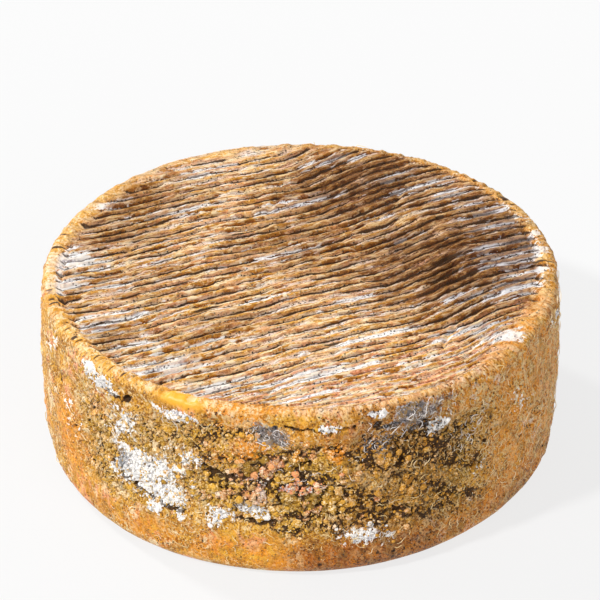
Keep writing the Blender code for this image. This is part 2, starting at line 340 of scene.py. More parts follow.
ROCKY_PATCHES = (
    (246, 0.0500, 0.036, 0.0200, -8, 1.0), (232, 0.0450, 0.024, 0.0130, 0, 0.6),
    (262, 0.0360, 0.022, 0.0150, -20, 0.8), (236, 0.0700, 0.018, 0.0060, 6, 0.7),
    (60, 0.0520, 0.030, 0.0160, 10, 0.9), (95, 0.0460, 0.024, 0.0140, -10, 0.7),
)
# Cracks: azimuth in degrees and height along them, half width, depth.
CRACKS = (
    (((203, 0.0410), (206, 0.0350), (211, 0.0305), (217, 0.0275), (221, 0.0290)), 0.0008, 0.0034),
    (((202, 0.0775), (207, 0.0750)), 0.0006, 0.0016),
    (((233, 0.0310), (237, 0.0290), (241, 0.0300)), 0.0006, 0.0020),
    (((246, 0.0325), (250, 0.0345)), 0.0005, 0.0016),
    (((226, 0.0560), (230, 0.0525), (233, 0.0535)), 0.0010, 0.0026),
    (((301, 0.0370), (305, 0.0400), (309, 0.0455)), 0.0009, 0.0026),
    (((265, 0.0335), (269, 0.0310)), 0.0005, 0.0014),
    (((279, 0.0290), (283, 0.0300)), 0.0004, 0.0012),
    (((38, 0.0300), (46, 0.0265), (54, 0.0290)), 0.0012, 0.0036),
    (((108, 0.0390), (117, 0.0370), (126, 0.0410)), 0.0010, 0.0030),
    (((340, 0.0440), (348, 0.0430), (356, 0.0480)), 0.0009, 0.0026),
    (((74, 0.0600), (80, 0.0590)), 0.0009, 0.0026),
    (((243, 0.0805), (249, 0.0790), (256, 0.0800)), 0.0006, 0.0018),
    (((262, 0.0760), (268, 0.0775)), 0.0005, 0.0016),
)
# Single holes in the wall: azimuth in degrees, height, half size, depth.
HOLES = (
    (207.5, 0.0770, 0.0017, 0.0036), (181, 0.0590, 0.0028, 0.0042), (273, 0.0715, 0.0018, 0.0036),
    (267, 0.0570, 0.0021, 0.0036), (228, 0.0535, 0.0018, 0.0030), (257, 0.0800, 0.0009, 0.0022),
    (190, 0.0440, 0.0012, 0.0022), (248, 0.0620, 0.0013, 0.0024), (12, 0.0640, 0.0022, 0.0038),
    (84, 0.0480, 0.0024, 0.0038), (133, 0.0600, 0.0020, 0.0034), (326, 0.0560, 0.0018, 0.0030),
    (164, 0.0500, 0.0022, 0.0032), (252, 0.0775, 0.0012, 0.0026), (246.5, 0.0790, 0.0010, 0.0022),
    (262, 0.0785, 0.0014, 0.0028), (266, 0.0745, 0.0010, 0.0022), (241, 0.0800, 0.0010, 0.0020),
    (281, 0.0640, 0.0012, 0.0024), (289, 0.0500, 0.0012, 0.0024), (294, 0.0690, 0.0010, 0.0022),
    (275, 0.0600, 0.0010, 0.0022), (284, 0.0360, 0.0010, 0.0020),
)
# Mould lying along the reeds on the upper face: x, y, half length, half width, strength.
FACE_MOULD = (
    (-0.092, 0.046, 0.016, 0.0110, 1.05), (-0.102, 0.028, 0.013, 0.0100, 1.00),
    (-0.083, 0.020, 0.018, 0.0050, 0.70), (-0.094, -0.008, 0.017, 0.0100, 0.95),
    (-0.088, -0.032, 0.016, 0.0070, 0.80), (-0.085, -0.052, 0.020, 0.0095, 1.00),
    (-0.071, -0.075, 0.018, 0.0070, 1.05), (-0.060, -0.040, 0.018, 0.0040, 0.75),
    (-0.031, -0.083, 0.034, 0.0060, 1.00), (-0.040, -0.097, 0.016, 0.0035, 0.90),
    (0.006, -0.066, 0.026, 0.0045, 0.80), (0.012, -0.092, 0.026, 0.0035, 0.70),
    (0.054, -0.090, 0.014, 0.0050, 1.00), (0.050, -0.078, 0.022, 0.0055, 0.95),
    (0.101, 0.009, 0.015, 0.0055, 0.90), (0.099, -0.004, 0.018, 0.0055, 0.90),
    (0.096, -0.020, 0.022, 0.0065, 0.90), (0.091, -0.033, 0.024, 0.0080, 0.92),
    (0.090, -0.048, 0.020, 0.0055, 0.86), (0.078, -0.058, 0.024, 0.0060, 0.88),
    (0.055, -0.053, 0.018, 0.0045, 0.75), (0.098, 0.020, 0.014, 0.0035, 0.90),
    (0.094, 0.031, 0.015, 0.0040, 0.95), (0.084, 0.044, 0.020, 0.0045, 0.85),
    (0.075, 0.058, 0.018, 0.0040, 0.80), (0.052, 0.005, 0.016, 0.0035, 0.60),
    (0.020, 0.055, 0.028, 0.0060, 0.80), (-0.035, 0.070, 0.026, 0.0055, 0.75),
    (0.055, 0.085, 0.020, 0.0050, 0.80), (-0.010, 0.100, 0.022, 0.0045, 0.80),
    (0.000, 0.015, 0.026, 0.0050, 0.70), (0.048, 0.026, 0.020, 0.0045, 0.60),
    (-0.030, -0.018, 0.018, 0.0035, 0.60), (0.010, -0.035, 0.022, 0.0040, 0.65),
    (-0.055, 0.032, 0.016, 0.0035, 0.55), (-0.060, 0.088, 0.014, 0.0050, 0.70),
)
# Gashes where two ridges stand apart: x, y, half length, half width, depth.
GASHES = (
    (-0.078, -0.036, 0.011, 0.0015, 0.0024), (-0.108, 0.016, 0.006, 0.0012, 0.0020),
    (0.053, -0.037, 0.013, 0.0012, 0.0026), (0.101, -0.044, 0.006, 0.0011, 0.0020),
    (0.079, 0.009, 0.003, 0.0016, 0.0026), (-0.095, 0.060, 0.008, 0.0012, 0.0018),
    (0.066, -0.023, 0.014, 0.0011, 0.0022), (-0.012, 0.043, 0.014, 0.0013, 0.0022),
    (0.035, 0.068, 0.010, 0.0012, 0.0020), (-0.012, -0.060, 0.008, 0.0014, 0.0018),
    (0.004, -0.091, 0.006, 0.0012, 0.0014), (-0.052, -0.012, 0.012, 0.0012, 0.0020),
)
# Short breaks across the ridges: x, y, half length across, depth.
BREAKS = (
    (0.034, -0.078, 0.0060, 0.0016), (0.041, -0.072, 0.0045, 0.0012), (-0.036, -0.026, 0.0050, 0.0011),
    (-0.066, 0.052, 0.0045, 0.0010), (0.012, 0.062, 0.0070, 0.0012), (0.070, 0.036, 0.0045, 0.0010),
)
# Darker, browner parts of the upper face: the same.
BROWN_PARTS = (
    (0.100, -0.020, 0.030, 0.0700, 1.00), (0.072, -0.022, 0.056, 0.0540, 1.10),
    (0.060, 0.055, 0.050, 0.0400, 1.05), (-0.078, 0.024, 0.034, 0.0240, 0.30),
    (-0.060, 0.085, 0.050, 0.0260, 0.60), (-0.070, 0.058, 0.030, 0.0120, 0.60),
    (-0.046, -0.030, 0.030, 0.0100, 0.35), (0.010, 0.020, 0.040, 0.0300, 0.50),
    (-0.100, -0.020, 0.010, 0.0160, 0.50),
)
GLAZE_MIDDLE, GLAZE_HALF_WIDTH = math.radians(221), 0.0105  # a smooth orange stretch of the rim
KNOBBLY_ENDS = (0.55, 0.80)  # the rim is beaded where the reeds end on it: the azimuth's cosine, from and to
ALONG_RIM = (0.60, 0.25)  # and coloured and printed like the face where they run along it
BEADS, BEAD_SEEDS = (0.0031, 0.0018), (131, 137)  # the beads come in two sizes
BEAD_REACH = 0.66  # their radius as a share of it


def torn(out, ragged):
    """1 well inside an oval, 0 outside it, and between them 1.35 - (way out) + 0.55 * noise, a torn edge."""
    return np.clip(1.35 - out + 0.55 * ragged, 0, 1)


def patched(patches, azimuth, height, ragged):
    """How strongly patches cover the wall here: each is a leaning oval with a torn edge."""
    most = np.zeros_like(height)
    for degrees, middle, half_width, half_height, lean, strength in patches:
        out = oval(azimuth, height, degrees, middle, half_width, half_height, lean)
        most = np.maximum(most, strength * torn(out, ragged))
    return most


def streaked(streaks, x, y, ragged):
    """The same for streaks on the upper face, which are ovals along the reeds."""
    most = np.zeros_like(x)
    for middle_x, middle_y, half_length, half_width, strength in streaks:
        out = np.hypot((x - middle_x) / half_length, (y - middle_y) / half_width)
        most = np.maximum(most, strength * torn(out, ragged))
    return most


def cracked(azimuth, height, jitter):
    """How deep the cracks are here: depth * (1 - (distance / width)^1.4) off paths that a noise shakes."""
    deepest = np.zeros_like(height)
    for path, half_width, depth in CRACKS:
        origin = math.radians(path[0][0])
        along = turned(azimuth, origin) * RADIUS + jitter * 0.0007
        up = height + jitter * 0.0009
        places = [(float(turned(math.radians(degrees), origin)) * RADIUS, level) for degrees, level in path]
        for start, end in zip(places, places[1:]):
            share, off = along_line(along, up, start, end)
            past = np.clip(np.maximum(-share, share - 1), 0, None) * math.dist(start, end)
            gap = np.hypot(off, past)
            deepest = np.maximum(deepest, depth * np.clip(1 - (gap / (1.5 * half_width)) ** 1.4, 0, 1))
    return deepest


def holed(azimuth, height, ragged):
    """How deep the single holes are here: depth * (1.3 - (way out))^1.2 in leaning ovals with torn edges."""
    deepest = np.zeros_like(height)
    for degrees, middle, half_size, depth in HOLES:
        out = oval(azimuth, height, degrees, middle, half_size * 1.3, half_size, 30) + 0.35 * ragged
        deepest = np.maximum(deepest, depth * np.clip(1.3 - out, 0, 1) ** 1.2)
    return deepest


def rim_knobs(azimuth, reach):
    """The rise of the rim's cord and beads, in metres, and the rim's marks.

    The cord is height * exp(-((reach - middle) / width)^2), and the beads are domes of two sizes. reach is
    the way in from the rim's corner over the face, or down the wall where it is negative. The rim is beaded
    where the reeds end on it, calmer where they run along it, plainer towards +X, and glazed in one place.
    The marks are how deep a place lies between beads, how far it has the rim's colours, how glazed it is,
    and how high on a bead it lies; the first is painted as shade and the last as highlights on the beads'
    tops.
    """
    glazed = bell(turned(azimuth, GLAZE_MIDDLE) * RADIUS, 0, GLAZE_HALF_WIDTH, 4)
    glazed = glazed * bell(reach, -0.0005, 0.0032, 4)
    near = bell(reach, 0.0008, 0.0024)
    ring = np.stack([np.cos(azimuth) * RADIUS, np.sin(azimuth) * RADIUS, reach], -1)
    big, small = (domes(ring / size, BEAD_REACH, seed)[0] for size, seed in zip(BEADS, BEAD_SEEDS))
    bead = np.maximum(big, 0.8 * small)
    reeds_end = np.abs(np.cos(azimuth))
    beaded = (0.35 + 0.65 * smooth(*KNOBBLY_ENDS, reeds_end)) * (1 - glazed)
    rise = 0.0005 * bell(reach, 0.0012, 0.0016) + near * (0.0008 * big + 0.0004 * small - 0.0005)
    rimmed = bell(reach, 0.0010, 0.0018) * (1 - 0.6 * smooth(0.0, 0.5, np.cos(azimuth)))
    rimmed = rimmed * (1 - 0.7 * smooth(*ALONG_RIM, reeds_end))
    return beaded * rise + 0.0004 * glazed, beaded * near * (1 - bead) ** 2, rimmed, glazed, bead


# ---------------------------------------------------------------- the wall

SECTOR_COLUMNS = 520
COLUMNS = 3 * SECTOR_COLUMNS
SEAM_AZIMUTH = math.radians(186)  # where the wheel's three sectors meet, and a third of a turn from there
FOOT_ROWS, WALL_ROWS, RIM_ROWS, LIP_ROWS = 13, 146, 8, 12
UNDERSIDE_RINGS = (0.30, 0.60, 0.80, 0.92, 0.975)  # shares of the underside's radius
SEAM = 0.0046  # how far inside the rim the wall's surface gives way to the printed face
SEAM_SLOPE = 0.0034  # the width over which the hidden one sinks
SEAM_DROP = 0.0016
COVER_DEPTH = 0.0050  # how deep the wall's own top lies under the printed face
COVER_INSETS = (0.0100, 0.0300)
FACE_STREAKS = 0.16  # streaks on the printed face are this much thinner than they are long
TWIST = 2.0  # how the wall's streaks lean, in radians of azimuth to a metre of height
LUMP, CRUMB = 0.0064, 0.0030  # sizes of the broken belt's lumps, large and small
GRAIN, GRAIN_REACH = 0.0017, 0.62  # size of the grains, and their radius as a share of it
PIT, PIT_REACH, PITLESS = 0.0044, 0.30, 0.6  # the pits' spacing, radius as a share of it, and share left out
CURLY_SIDE = math.radians(345)  # the side with fine curls, across from the one with cream blotches
SHADED_FOOT, HALF_SHADED_FOOT = math.radians(262), math.radians(330)  # the middles of the foot's painted shade, full and half
DULL_SIDE = math.radians(267)  # and of a darker, browner stretch above it


def wall_marks(points, azimuth, height):
    """The rind's marks over the wall, which mostly run from 0 to 1, and its fine relief in metres.

    The relief is the sum of slow lumps, the wrinkles and grains of smooth rind, broken lumps in two sizes
    with grains on them where the belt is, a sandy swelling on each crease, the lumps of mould, pits,
    cracks, holes and the rim's beads. The gaps between lumps, the pits, cracks and holes, the gaps between
    beads and the feet of the creases get painted shade. The foot gets painted shade, fullest on one side,
    a stretch above it is darker and browner, and elsewhere the smooth rind is calm in slow clouds.
    """
    ragged = layered_noise(points / 0.0075, 3, 11)
    fine_ragged = layered_noise(points / 0.0030, 2, 23)
    inside = smooth(0.001, 0.010, height) * smooth(0.000, 0.004, HEIGHT - height)
    belted = belt(azimuth, height)
    crumbly = np.clip(belted * 1.25 + 0.6 * ragged * smooth(0.02, 0.4, belted), 0, 1)
    rocky = patched(ROCKY_PATCHES, azimuth, height, 0.7 * ragged)
    white = patched(WHITE_PATCHES, azimuth, height, ragged + 0.5 * fine_ragged)
    grey = patched(GREY_PATCHES, azimuth, height, 0.9 * ragged + 0.4 * fine_ragged)
    orange = patched(ORANGE_PATCHES, azimuth, height, ragged)
    crack, hole = cracked(azimuth, height, fine_ragged), holed(azimuth, height, fine_ragged)
    fold = folds(azimuth, height)
    sandy = np.clip(fold / 0.0012 + 0.25 * ragged * (fold > 0), 0, 1)

    lumps = 0.0009 * layered_noise(points / 0.020, 2, 31) + 0.0008 * swell_noise(points / 0.0062, 37)
    wrinkle = 1 - np.abs(swell_noise(points * (1, 1, 0.5) / 0.0030, 39)) * 2.4
    fine = swell_noise(points / 0.0013, 61)
    shaken = points + 0.0016 * fine_ragged[..., None] * (1, -0.6, 0.8)
    edge, top, number = chunks(shaken / CRUMB, 41)
    big_edge, big_top, big_number = chunks(shaken / LUMP, 53)
    small, grain_number = domes(points / GRAIN, GRAIN_REACH, 47)
    pit, pit_number = grains(points / PIT, 59)
    pits = np.clip(1 - pit / PIT_REACH, 0, 1) * (pit_number > PITLESS)
    granular = edge * (0.0007 + 0.0010 * top) + small * 0.0005 + 0.0006 * ragged - 0.0013
    stony = big_edge * (0.0012 + 0.0020 * big_top) + edge * (0.0003 + 0.0005 * top) + small * 0.0003 - 0.0024
    cakey = edge * (0.0007 + 0.0006 * top) + small * 0.0004 + 0.0008 * ragged + 0.0002 * fine - 0.0004
    smooth_rind = 0.00026 * wrinkle + 0.00022 * small + 0.00014 * fine - pits * 0.0007
    relief = lumps + smooth_rind * (1 - 0.8 * crumbly)
    relief = relief + (crumbly * (1 - 0.8 * rocky) * granular + rocky * stony) * (1 - 0.8 * white)
    relief = relief * (1 - 0.45 * sandy * crumbly) + white * cakey
    relief = relief + (0.00016 * fine + 0.0006 * sandy) * crumbly
    knobs, between, rimmed, glazed, bead = rim_knobs(azimuth, height - HEIGHT)
    relief = relief * (0.2 + 0.8 * inside) * (1 - glazed) - (crack + hole) * inside + knobs * (1 - inside)

    # Painted shade in the gaps between lumps, in pits, cracks and holes, between the rim's beads and at the
    # creases' feet.
    gaps = crumbly * (1 - 0.8 * rocky) * (1 - edge) ** 1.3 + rocky * (1 - big_edge) ** 1.1
    gaps = gaps * (1 - 0.85 * white) + 0.8 * pits * (1 - crumbly)
    sunk = np.clip(np.maximum(gaps, np.maximum(crack, hole) / 0.0012) + 0.6 * between * (1 - inside), 0, 1)
    fold_foot = bell(sandy, 0.16, 0.12) * smooth(0, 0.02, sandy)
    sunk = np.clip(sunk * (1 - 0.5 * sandy) + 0.5 * fold_foot * crumbly * (1 - white), 0, 1)
    curly = smooth(-0.25, 0.6, np.cos(azimuth - CURLY_SIDE))
    # Painted shade at the foot: full on one side, half on a broad other side, fading out upwards.
    dark = smooth(0.93, 0.985, np.cos(azimuth - SHADED_FOOT))
    dull = smooth(-0.1, 0.4, np.cos(azimuth - HALF_SHADED_FOOT))
    low = np.maximum(dark, 0.5 * dull) * smooth(0.034, 0.008, height)
    side = smooth(0.96, 0.995, np.cos(azimuth - DULL_SIDE)) * smooth(0.020, 0.030, height)
    calm = orange - 0.05 + 1.6 * layered_noise(points / 0.016, 2, 67) + 0.3 * smooth(0.020, 0.010, height)
    calm = np.clip(calm, 0, 1) * (1 - crumbly) * (1 - 0.4 * curly) * (1 - 0.7 * low)
    lump_number = number + (big_number - number) * smooth(0.2, 0.5, rocky)
    marks = {
        "crumbly": crumbly, "rocky": rocky, "white_mould": white, "grey_mould": grey, "orange": orange,
        "sunk": sunk, "printed": np.zeros_like(height), "cord": np.zeros_like(height), "rimmed": rimmed,
        "glazed": glazed, "bead": bead, "curly": curly, "calm": calm, "grain": small,
        # On the wall the flank mark is the foot's painted shade with a darker stretch above it, and brown
        # carries some of both.
        "grain_tone": grain_number, "flank": 1.25 * low + 0.60 * side,
        "brown": np.clip(0.50 * curly + 0.6 * low + 0.50 * side, 0, 1),
        "tone": lump_number + 0.6 * sandy * (0.66 - lump_number) - 0.38 * curly,
    }
    return relief, marks


# ---------------------------------------------------------------- the printed face

CREST_BACK, CREST_FRONT = 0.46, 0.31  # how far flanks reach behind a crest and in front, as shares of the way
VALLEY_LINE, VALLEY_LINE_WIDTH = 0.69, 0.070  # the dark line of painted shade at the front foot of each crest, on that way, where the groove also sinks a little
LOOKS_FADE, LOOKS_RIM_PRINT = 0.0050, 0.55  # the print fades to this share over this way to the rim
NOTCH_CELL, NOTCH_REACH, NOTCHLESS = (0.0115, 0.13), 0.075, 0.45  # small breaks: cell, radius, share left out
BREAK_LEAN, BREAK_WIDTH = 0.9, 0.0020
CREASE, CREASE_WIDTH, CREASE_DEPTH = 0.0042, 0.0009, 0.0009  # the crease that ends the print, in from the rim


def reeds(y):
    """The way from the crest in front to the one behind, and the groove's and nearest crest's numbers."""
    after = np.clip(np.searchsorted(CRESTS, y), 1, len(CRESTS) - 1)
    way = np.clip((y - CRESTS[after - 1]) / (CRESTS[after] - CRESTS[after - 1]), 0, 1)
    return way, after, after + (way > 0.5)


def crest_flank(way, vary):
    """0 on a crest and 1 at the foot of its flank, which is steep in front of it and gentle behind it."""
    return np.clip(np.minimum(way / CREST_BACK, (1 - way) / CREST_FRONT) * (1 + vary), 0, 1)


def cuts(x, y):
    """How deep the breaks across the ridges are here, and how deep the gashes between them."""
    crosswise, gash = np.zeros_like(x), np.zeros_like(x)
    for middle_x, middle_y, half_length, cut in BREAKS:
        along = (x - middle_x - BREAK_LEAN * (y - middle_y)) / BREAK_WIDTH
        off = np.hypot(along, (y - middle_y) / half_length)
        crosswise = np.maximum(crosswise, cut * np.clip(1.3 - off, 0, 1))
    for middle_x, middle_y, half_length, half_width, cut in GASHES:
        off = np.hypot((x - middle_x) / half_length, (y - middle_y) / half_width)
        gash = np.maximum(gash, cut * np.clip(1.25 - off, 0, 1) ** 1.3)
    return crosswise, gash


def face_marks(x, y):
    """Where flat places on the face end up, the rind's marks there, and how far in from the rim they lie.

    A crest's flanks fall in S-curves to the valleys. The grooves change in width and depth along their
    length by noises of their own, so that ridges merge and part. Crests carry small domes and short breaks,
    and their flanks towards -Y get painted shade, as do a dark line at each crest's front foot, the
    gashes, the crease, the notches and the gaps between beads. The print ends at a broken crease inside
    the rim, and its looks are carried over the rim where the reeds run along it.
    """
    share = np.clip(np.hypot(x, y) / FACE, 0, 1)
    inwards = (1 - share) * FACE
    azimuth = np.arctan2(y, x)
    reeds_end = np.abs(np.cos(azimuth))
    inside = smooth(0.0, LOOKS_FADE, inwards)
    flat = np.stack([x, y, np.zeros_like(x)], -1)
    way, groove_number, crest_number = reeds(y)
    along_groove = np.stack([x, groove_number * 0.11, np.zeros_like(x)], -1)
    along_crest = np.stack([x, crest_number * 0.13, np.zeros_like(x)], -1)
    vary = swell_noise(along_groove / 0.026, 71) + 0.5 * swell_noise(along_groove / 0.0080, 73)
    crest_vary = swell_noise(along_crest / 0.019, 79) + 0.4 * swell_noise(along_crest / 0.0070, 83)
    flank = crest_flank(way, 0.45 * swell_noise(along_crest / 0.015, 77))
    depth_share = np.clip(0.95 + 1.0 * vary, 0.10, 1.5)
    profile = smooth(0.10, 1, flank)
    line = bell(way + 0.10 * crest_vary, VALLEY_LINE, VALLEY_LINE_WIDTH)
    line = line * np.clip(0.72 + 1.3 * vary, 0, 1.1) * inside
    printed = smooth(0.0020, 0.0055, inwards)
    printed = printed + (smooth(-0.0025, 0.0020, inwards) - printed) * smooth(*ALONG_RIM, reeds_end)
    groove = print_depth(x, y) * (profile * depth_share + 0.35 * line)
    groove = groove * (LOOKS_RIM_PRINT + (1 - LOOKS_RIM_PRINT) * inside)
    notch, notch_number = grains(along_crest[..., :2] / NOTCH_CELL, 87)
    notches = np.clip(1 - notch / NOTCH_REACH, 0, 1) * (notch_number > NOTCHLESS)
    crosswise, gash = cuts(x, y)
    small, grain_number = domes(flat[..., :2] / GRAIN, GRAIN_REACH, 91)
    bumps = (0.00036 * crest_vary - 0.0006 * notches) * (1 - flank)
    bumps = bumps + 0.00014 * swell_noise(flat / (0.0050, 0.0011, 1), 93)
    bumps = bumps + (0.13 + 0.19 * flank) * 0.001 * (small - 0.3) + 0.00016 * swell_noise(flat / 0.0040, 89)
    lumps = 0.0007 * layered_noise(flat / 0.030, 2, 101)
    knobs, between, rimmed, glazed, bead = rim_knobs(azimuth, inwards)
    crease = bell(inwards + 0.0016 * swell_noise(flat / 0.009, 117), CREASE, CREASE_WIDTH) * (1 - glazed)
    crease = crease * (0.10 + 0.90 * smooth(*KNOBBLY_ENDS, reeds_end))
    crease = crease * smooth(-0.15, 0.30, swell_noise(flat / 0.0046, 121) + 0.5 * vary)
    lip = LIP_HEIGHT * bell(inwards, 0, LIP_WIDTH) * (1 - share**24)
    height = HEIGHT - DISH * (1 - share**2) - groove + lip + knobs + bumps * (0.35 + 0.65 * inside)
    height = height + lumps * inside - (gash + crosswise) * inside - CREASE_DEPTH * crease
    stretch = 1 + (outline(azimuth) - 1) * smooth(0.3, 1.0, share)
    sway = 0.0011 * swell_noise(flat / (0.020, 0.013, 1), 103)
    sway = sway + 0.0006 * swell_noise(flat / (0.0070, 0.008, 1), 107)
    points = np.stack([x * stretch, (y + (wander(x, y) + sway) * inside) * stretch, height], -1)

    ragged = layered_noise(flat / (0.011, 0.0042, 1), 3, 109)
    white = streaked(FACE_MOULD, points[..., 0], points[..., 1], ragged)
    brown = streaked(BROWN_PARTS, points[..., 0], points[..., 1], 0.8 * ragged)
    salmon = smooth(-0.045, -0.085, y) * smooth(-0.9, 0.5, ragged + 0.4)
    salmon = np.maximum(salmon, 0.7 * smooth(0.10, 0.5, layered_noise(flat / (0.022, 0.010, 1), 2, 119)))
    rough = (0.25 + 0.75 * inside) * (0.45 + 0.55 * smooth(*SHALLOW_EDGE, y))
    # Painted shade: on each crest's flank towards -Y, in the dark line at its front foot, and in gashes, the
    # crease, notches and the gaps between beads.
    shaded = smooth(0.59, 0.70, way) * (1 - smooth(0.80, 0.93, way)) * np.clip(depth_share, 0, 1) * rough
    sunk = (0.12 + 0.16 * brown) * profile * np.clip(depth_share, 0, 1.3)
    sunk = (line * (1.2 + 0.5 * brown) + sunk) * rough
    sunk = np.maximum(sunk, np.maximum(gash / 0.0020, 0.5 * crease))
    sunk = np.clip(np.maximum(sunk, 0.35 * notches * (1 - flank)) + 0.7 * between, 0, 1)
    marks = {
        "crumbly": np.zeros_like(x), "rocky": np.zeros_like(x), "white_mould": white,
        "grey_mould": 0.5 * white * smooth(0.0, 0.5, ragged), "orange": salmon, "sunk": sunk,
        "printed": printed, "cord": 1 - smooth(0.35, 0.90, flank * np.clip(depth_share + 0.4, 0, 1)),
        "rimmed": rimmed, "glazed": glazed, "bead": bead, "curly": np.full_like(x, 0.3),
        "calm": np.zeros_like(x), "grain": small, "grain_tone": grain_number, "brown": brown, "flank": shaded,
        "tone": np.clip(0.5 + 0.8 * swell_noise(along_crest / 0.033, 123), 0, 1),
    }
    return points, marks, inwards


# ---------------------------------------------------------------- meshes


class Sheet:
    """A grid of corners with the rind's marks on them: rows by columns, facing outwards."""

    def __init__(self, points, marks, flow):
        self.points, self.marks, self.flow = points, marks, flow

    def part(self, rows, columns):
        """The part of the sheet with these rows and columns."""
        marks = {name: values[rows][:, columns] for name, values in self.marks.items()}
        return Sheet(self.points[rows][:, columns], marks, self.flow[rows][:, columns])


def blended(first, second, share):
    """Two sets of marks, mixed."""
    return {name: first[name] * (1 - share) + second[name] * share for name in first}


def wall_flow(points):
    """The places that the wall's streaks are read from, twisted with height and squeezed along them."""
    turn = np.arctan2(points[..., 1], points[..., 0]) + TWIST * points[..., 2]
    return np.stack([RADIUS * np.cos(turn), RADIUS * np.sin(turn), 0.8 * points[..., 2]], -1)


def wall_sheet():
    """The wheel's wall with its underside, foot, rim, lip and hidden cover, as rings from the middle out."""
    azimuth = SEAM_AZIMUTH + np.arange(COLUMNS + 1) * 2 * math.pi / COLUMNS
    plan = np.stack([np.cos(azimuth), np.sin(azimuth)], -1)
    foot_turn = np.linspace(0, math.pi / 2, FOOT_ROWS, endpoint=False)
    rim_turn = np.linspace(0, math.pi / 2, RIM_ROWS + 1)[1:]
    heights = np.concatenate([
        FOOT_ROUND * (1 - np.cos(foot_turn)),
        np.linspace(FOOT_ROUND, HEIGHT - RIM_ROUND, WALL_ROWS),
        HEIGHT - RIM_ROUND * (1 - np.sin(rim_turn)),
    ])
    tilt = np.concatenate([foot_turn - math.pi / 2, np.zeros(WALL_ROWS), rim_turn])[:, None]  # of the way out
    height, around = np.meshgrid(heights, azimuth, indexing="ij")
    base = np.concatenate([wall_radius(around, height)[..., None] * plan, height[..., None]], -1)
    relief, marks = wall_marks(base, around, height)
    relief = relief * np.clip(height / FOOT_ROUND, 0.05, 1)
    way = np.stack([np.cos(tilt) * plan[:, 0], np.cos(tilt) * plan[:, 1], np.sin(tilt) + 0 * around], -1)

    insets = np.concatenate([np.linspace(0.0004, SEAM + SEAM_SLOPE, LIP_ROWS), COVER_INSETS])
    flat_radius = (FACE - insets)[:, None]
    lip, lip_marks, inwards = face_marks(flat_radius * np.cos(azimuth), flat_radius * np.sin(azimuth))
    share = smooth(0, 1, np.clip(np.sin(tilt), 0, 1) ** 2)
    body = base + way * (relief * (1 - share))[..., None] + share[..., None] * (lip[0] - base[-1]) * (0, 0, 1)
    marks = blended(marks, {name: values[:1] for name, values in lip_marks.items()}, share)
    lip[..., 2] -= SEAM_DROP * smooth(SEAM, SEAM + SEAM_SLOPE, inwards)
    lip[-len(COVER_INSETS):, :, 2] = HEIGHT - COVER_DEPTH

    shares = np.array(UNDERSIDE_RINGS)[:, None, None]
    under = np.concatenate([shares * body[0, :, :2], np.zeros((len(shares), COLUMNS + 1, 1))], -1)
    points = np.concatenate([under, body, lip])
    under_marks = {name: np.repeat(values[:1], len(shares), 0) for name, values in marks.items()}
    marks = {name: np.concatenate([under_marks[name], marks[name], lip_marks[name]]) for name in marks}
    lip_flow = np.stack([FACE_STREAKS * lip[..., 0], lip[..., 1], np.zeros_like(lip[..., 0])], -1)
    flow = np.concatenate([wall_flow(under), wall_flow(body), lip_flow])
    return Sheet(points, marks, flow), way


def grid_quads(index):
    """Quads between the neighbours of a grid of corner numbers, turned to face along rows x columns."""
    return np.stack([index[:-1, :-1], index[:-1, 1:], index[1:, 1:], index[1:, :-1]], -1).reshape(-1, 4)


CUT_MIDDLE = (0.105, 0.040)  # a place in a cut that sees its whole outline: out from the axis, and up


def wheel_sector(sheet, number):
    """A third of the wheel's body, closed by fans at both poles and over each cut."""
    first = number * SECTOR_COLUMNS
    part = sheet.part(slice(None), slice(first, first + SECTOR_COLUMNS + 1))
    rows, columns = part.points.shape[:2]
    index = np.arange(rows * columns).reshape(rows, columns)
    south, north = rows * columns, rows * columns + 1
    poles = [(0, 0, 0), (0, 0, HEIGHT - COVER_DEPTH)]
    fans = [
        np.stack([np.full(columns - 1, south), index[0, 1:], index[0, :-1]], -1),
        np.stack([index[-1, :-1], index[-1, 1:], np.full(columns - 1, north)], -1),
    ]
    cuts = []
    for side, column in enumerate((0, columns - 1)):
        turn = SEAM_AZIMUTH + (first + column) * 2 * math.pi / COLUMNS
        poles.append((CUT_MIDDLE[0] * math.cos(turn), CUT_MIDDLE[0] * math.sin(turn), CUT_MIDDLE[1]))
        loop = np.concatenate([[south], index[:, column], [north, south]])
        ends = (loop[:-1], loop[1:]) if column == 0 else (loop[1:], loop[:-1])
        cuts.append(np.stack([np.full(len(loop) - 1, north + 1 + side), *ends], -1))
    corners = np.concatenate([part.points.reshape(-1, 3), poles])
    return corners, grid_quads(index), np.concatenate(fans), np.concatenate(cuts), part, len(poles)


GROOVE_LINES = (0, 0.12, 0.24, 0.37, 0.5, 0.60, 0.68, 0.76, 0.84, 0.92)  # shares of the way between crests
FACE_POINTS = 440  # along a line
FACE_EDGE = 0.0012  # how far inside the rim the printed face ends, under the lip
FACE_UNDERSIDE = 0.0060
PARTING = -0.007  # near which place on the Y axis the printed face's two stretches meet, in a groove


def face_sheet():
    """The printed face, as lines that follow the reeds, and the number of the line that it is parted at."""
    reach = FACE - FACE_EDGE
    places = (CRESTS[:-1, None] + np.diff(CRESTS)[:, None] * np.array(GROOVE_LINES)).ravel()
    kept = np.abs(places) < 0.9985 * reach
    middle = np.argmin(np.abs(CRESTS - PARTING)) * len(GROOVE_LINES) + GROOVE_LINES.index(0.5)
    parting = int(kept[:middle].sum())
    y, share = np.meshgrid(places[kept], np.linspace(-1, 1, FACE_POINTS), indexing="ij")
    x = np.sqrt(reach**2 - y**2) * share
    points, marks, inwards = face_marks(x, y)
    points[..., 2] -= SEAM_DROP * smooth(SEAM, FACE_EDGE, inwards)
    flow = np.stack([FACE_STREAKS * x, y, np.zeros_like(x)], -1)
    return Sheet(points, marks, flow), parting


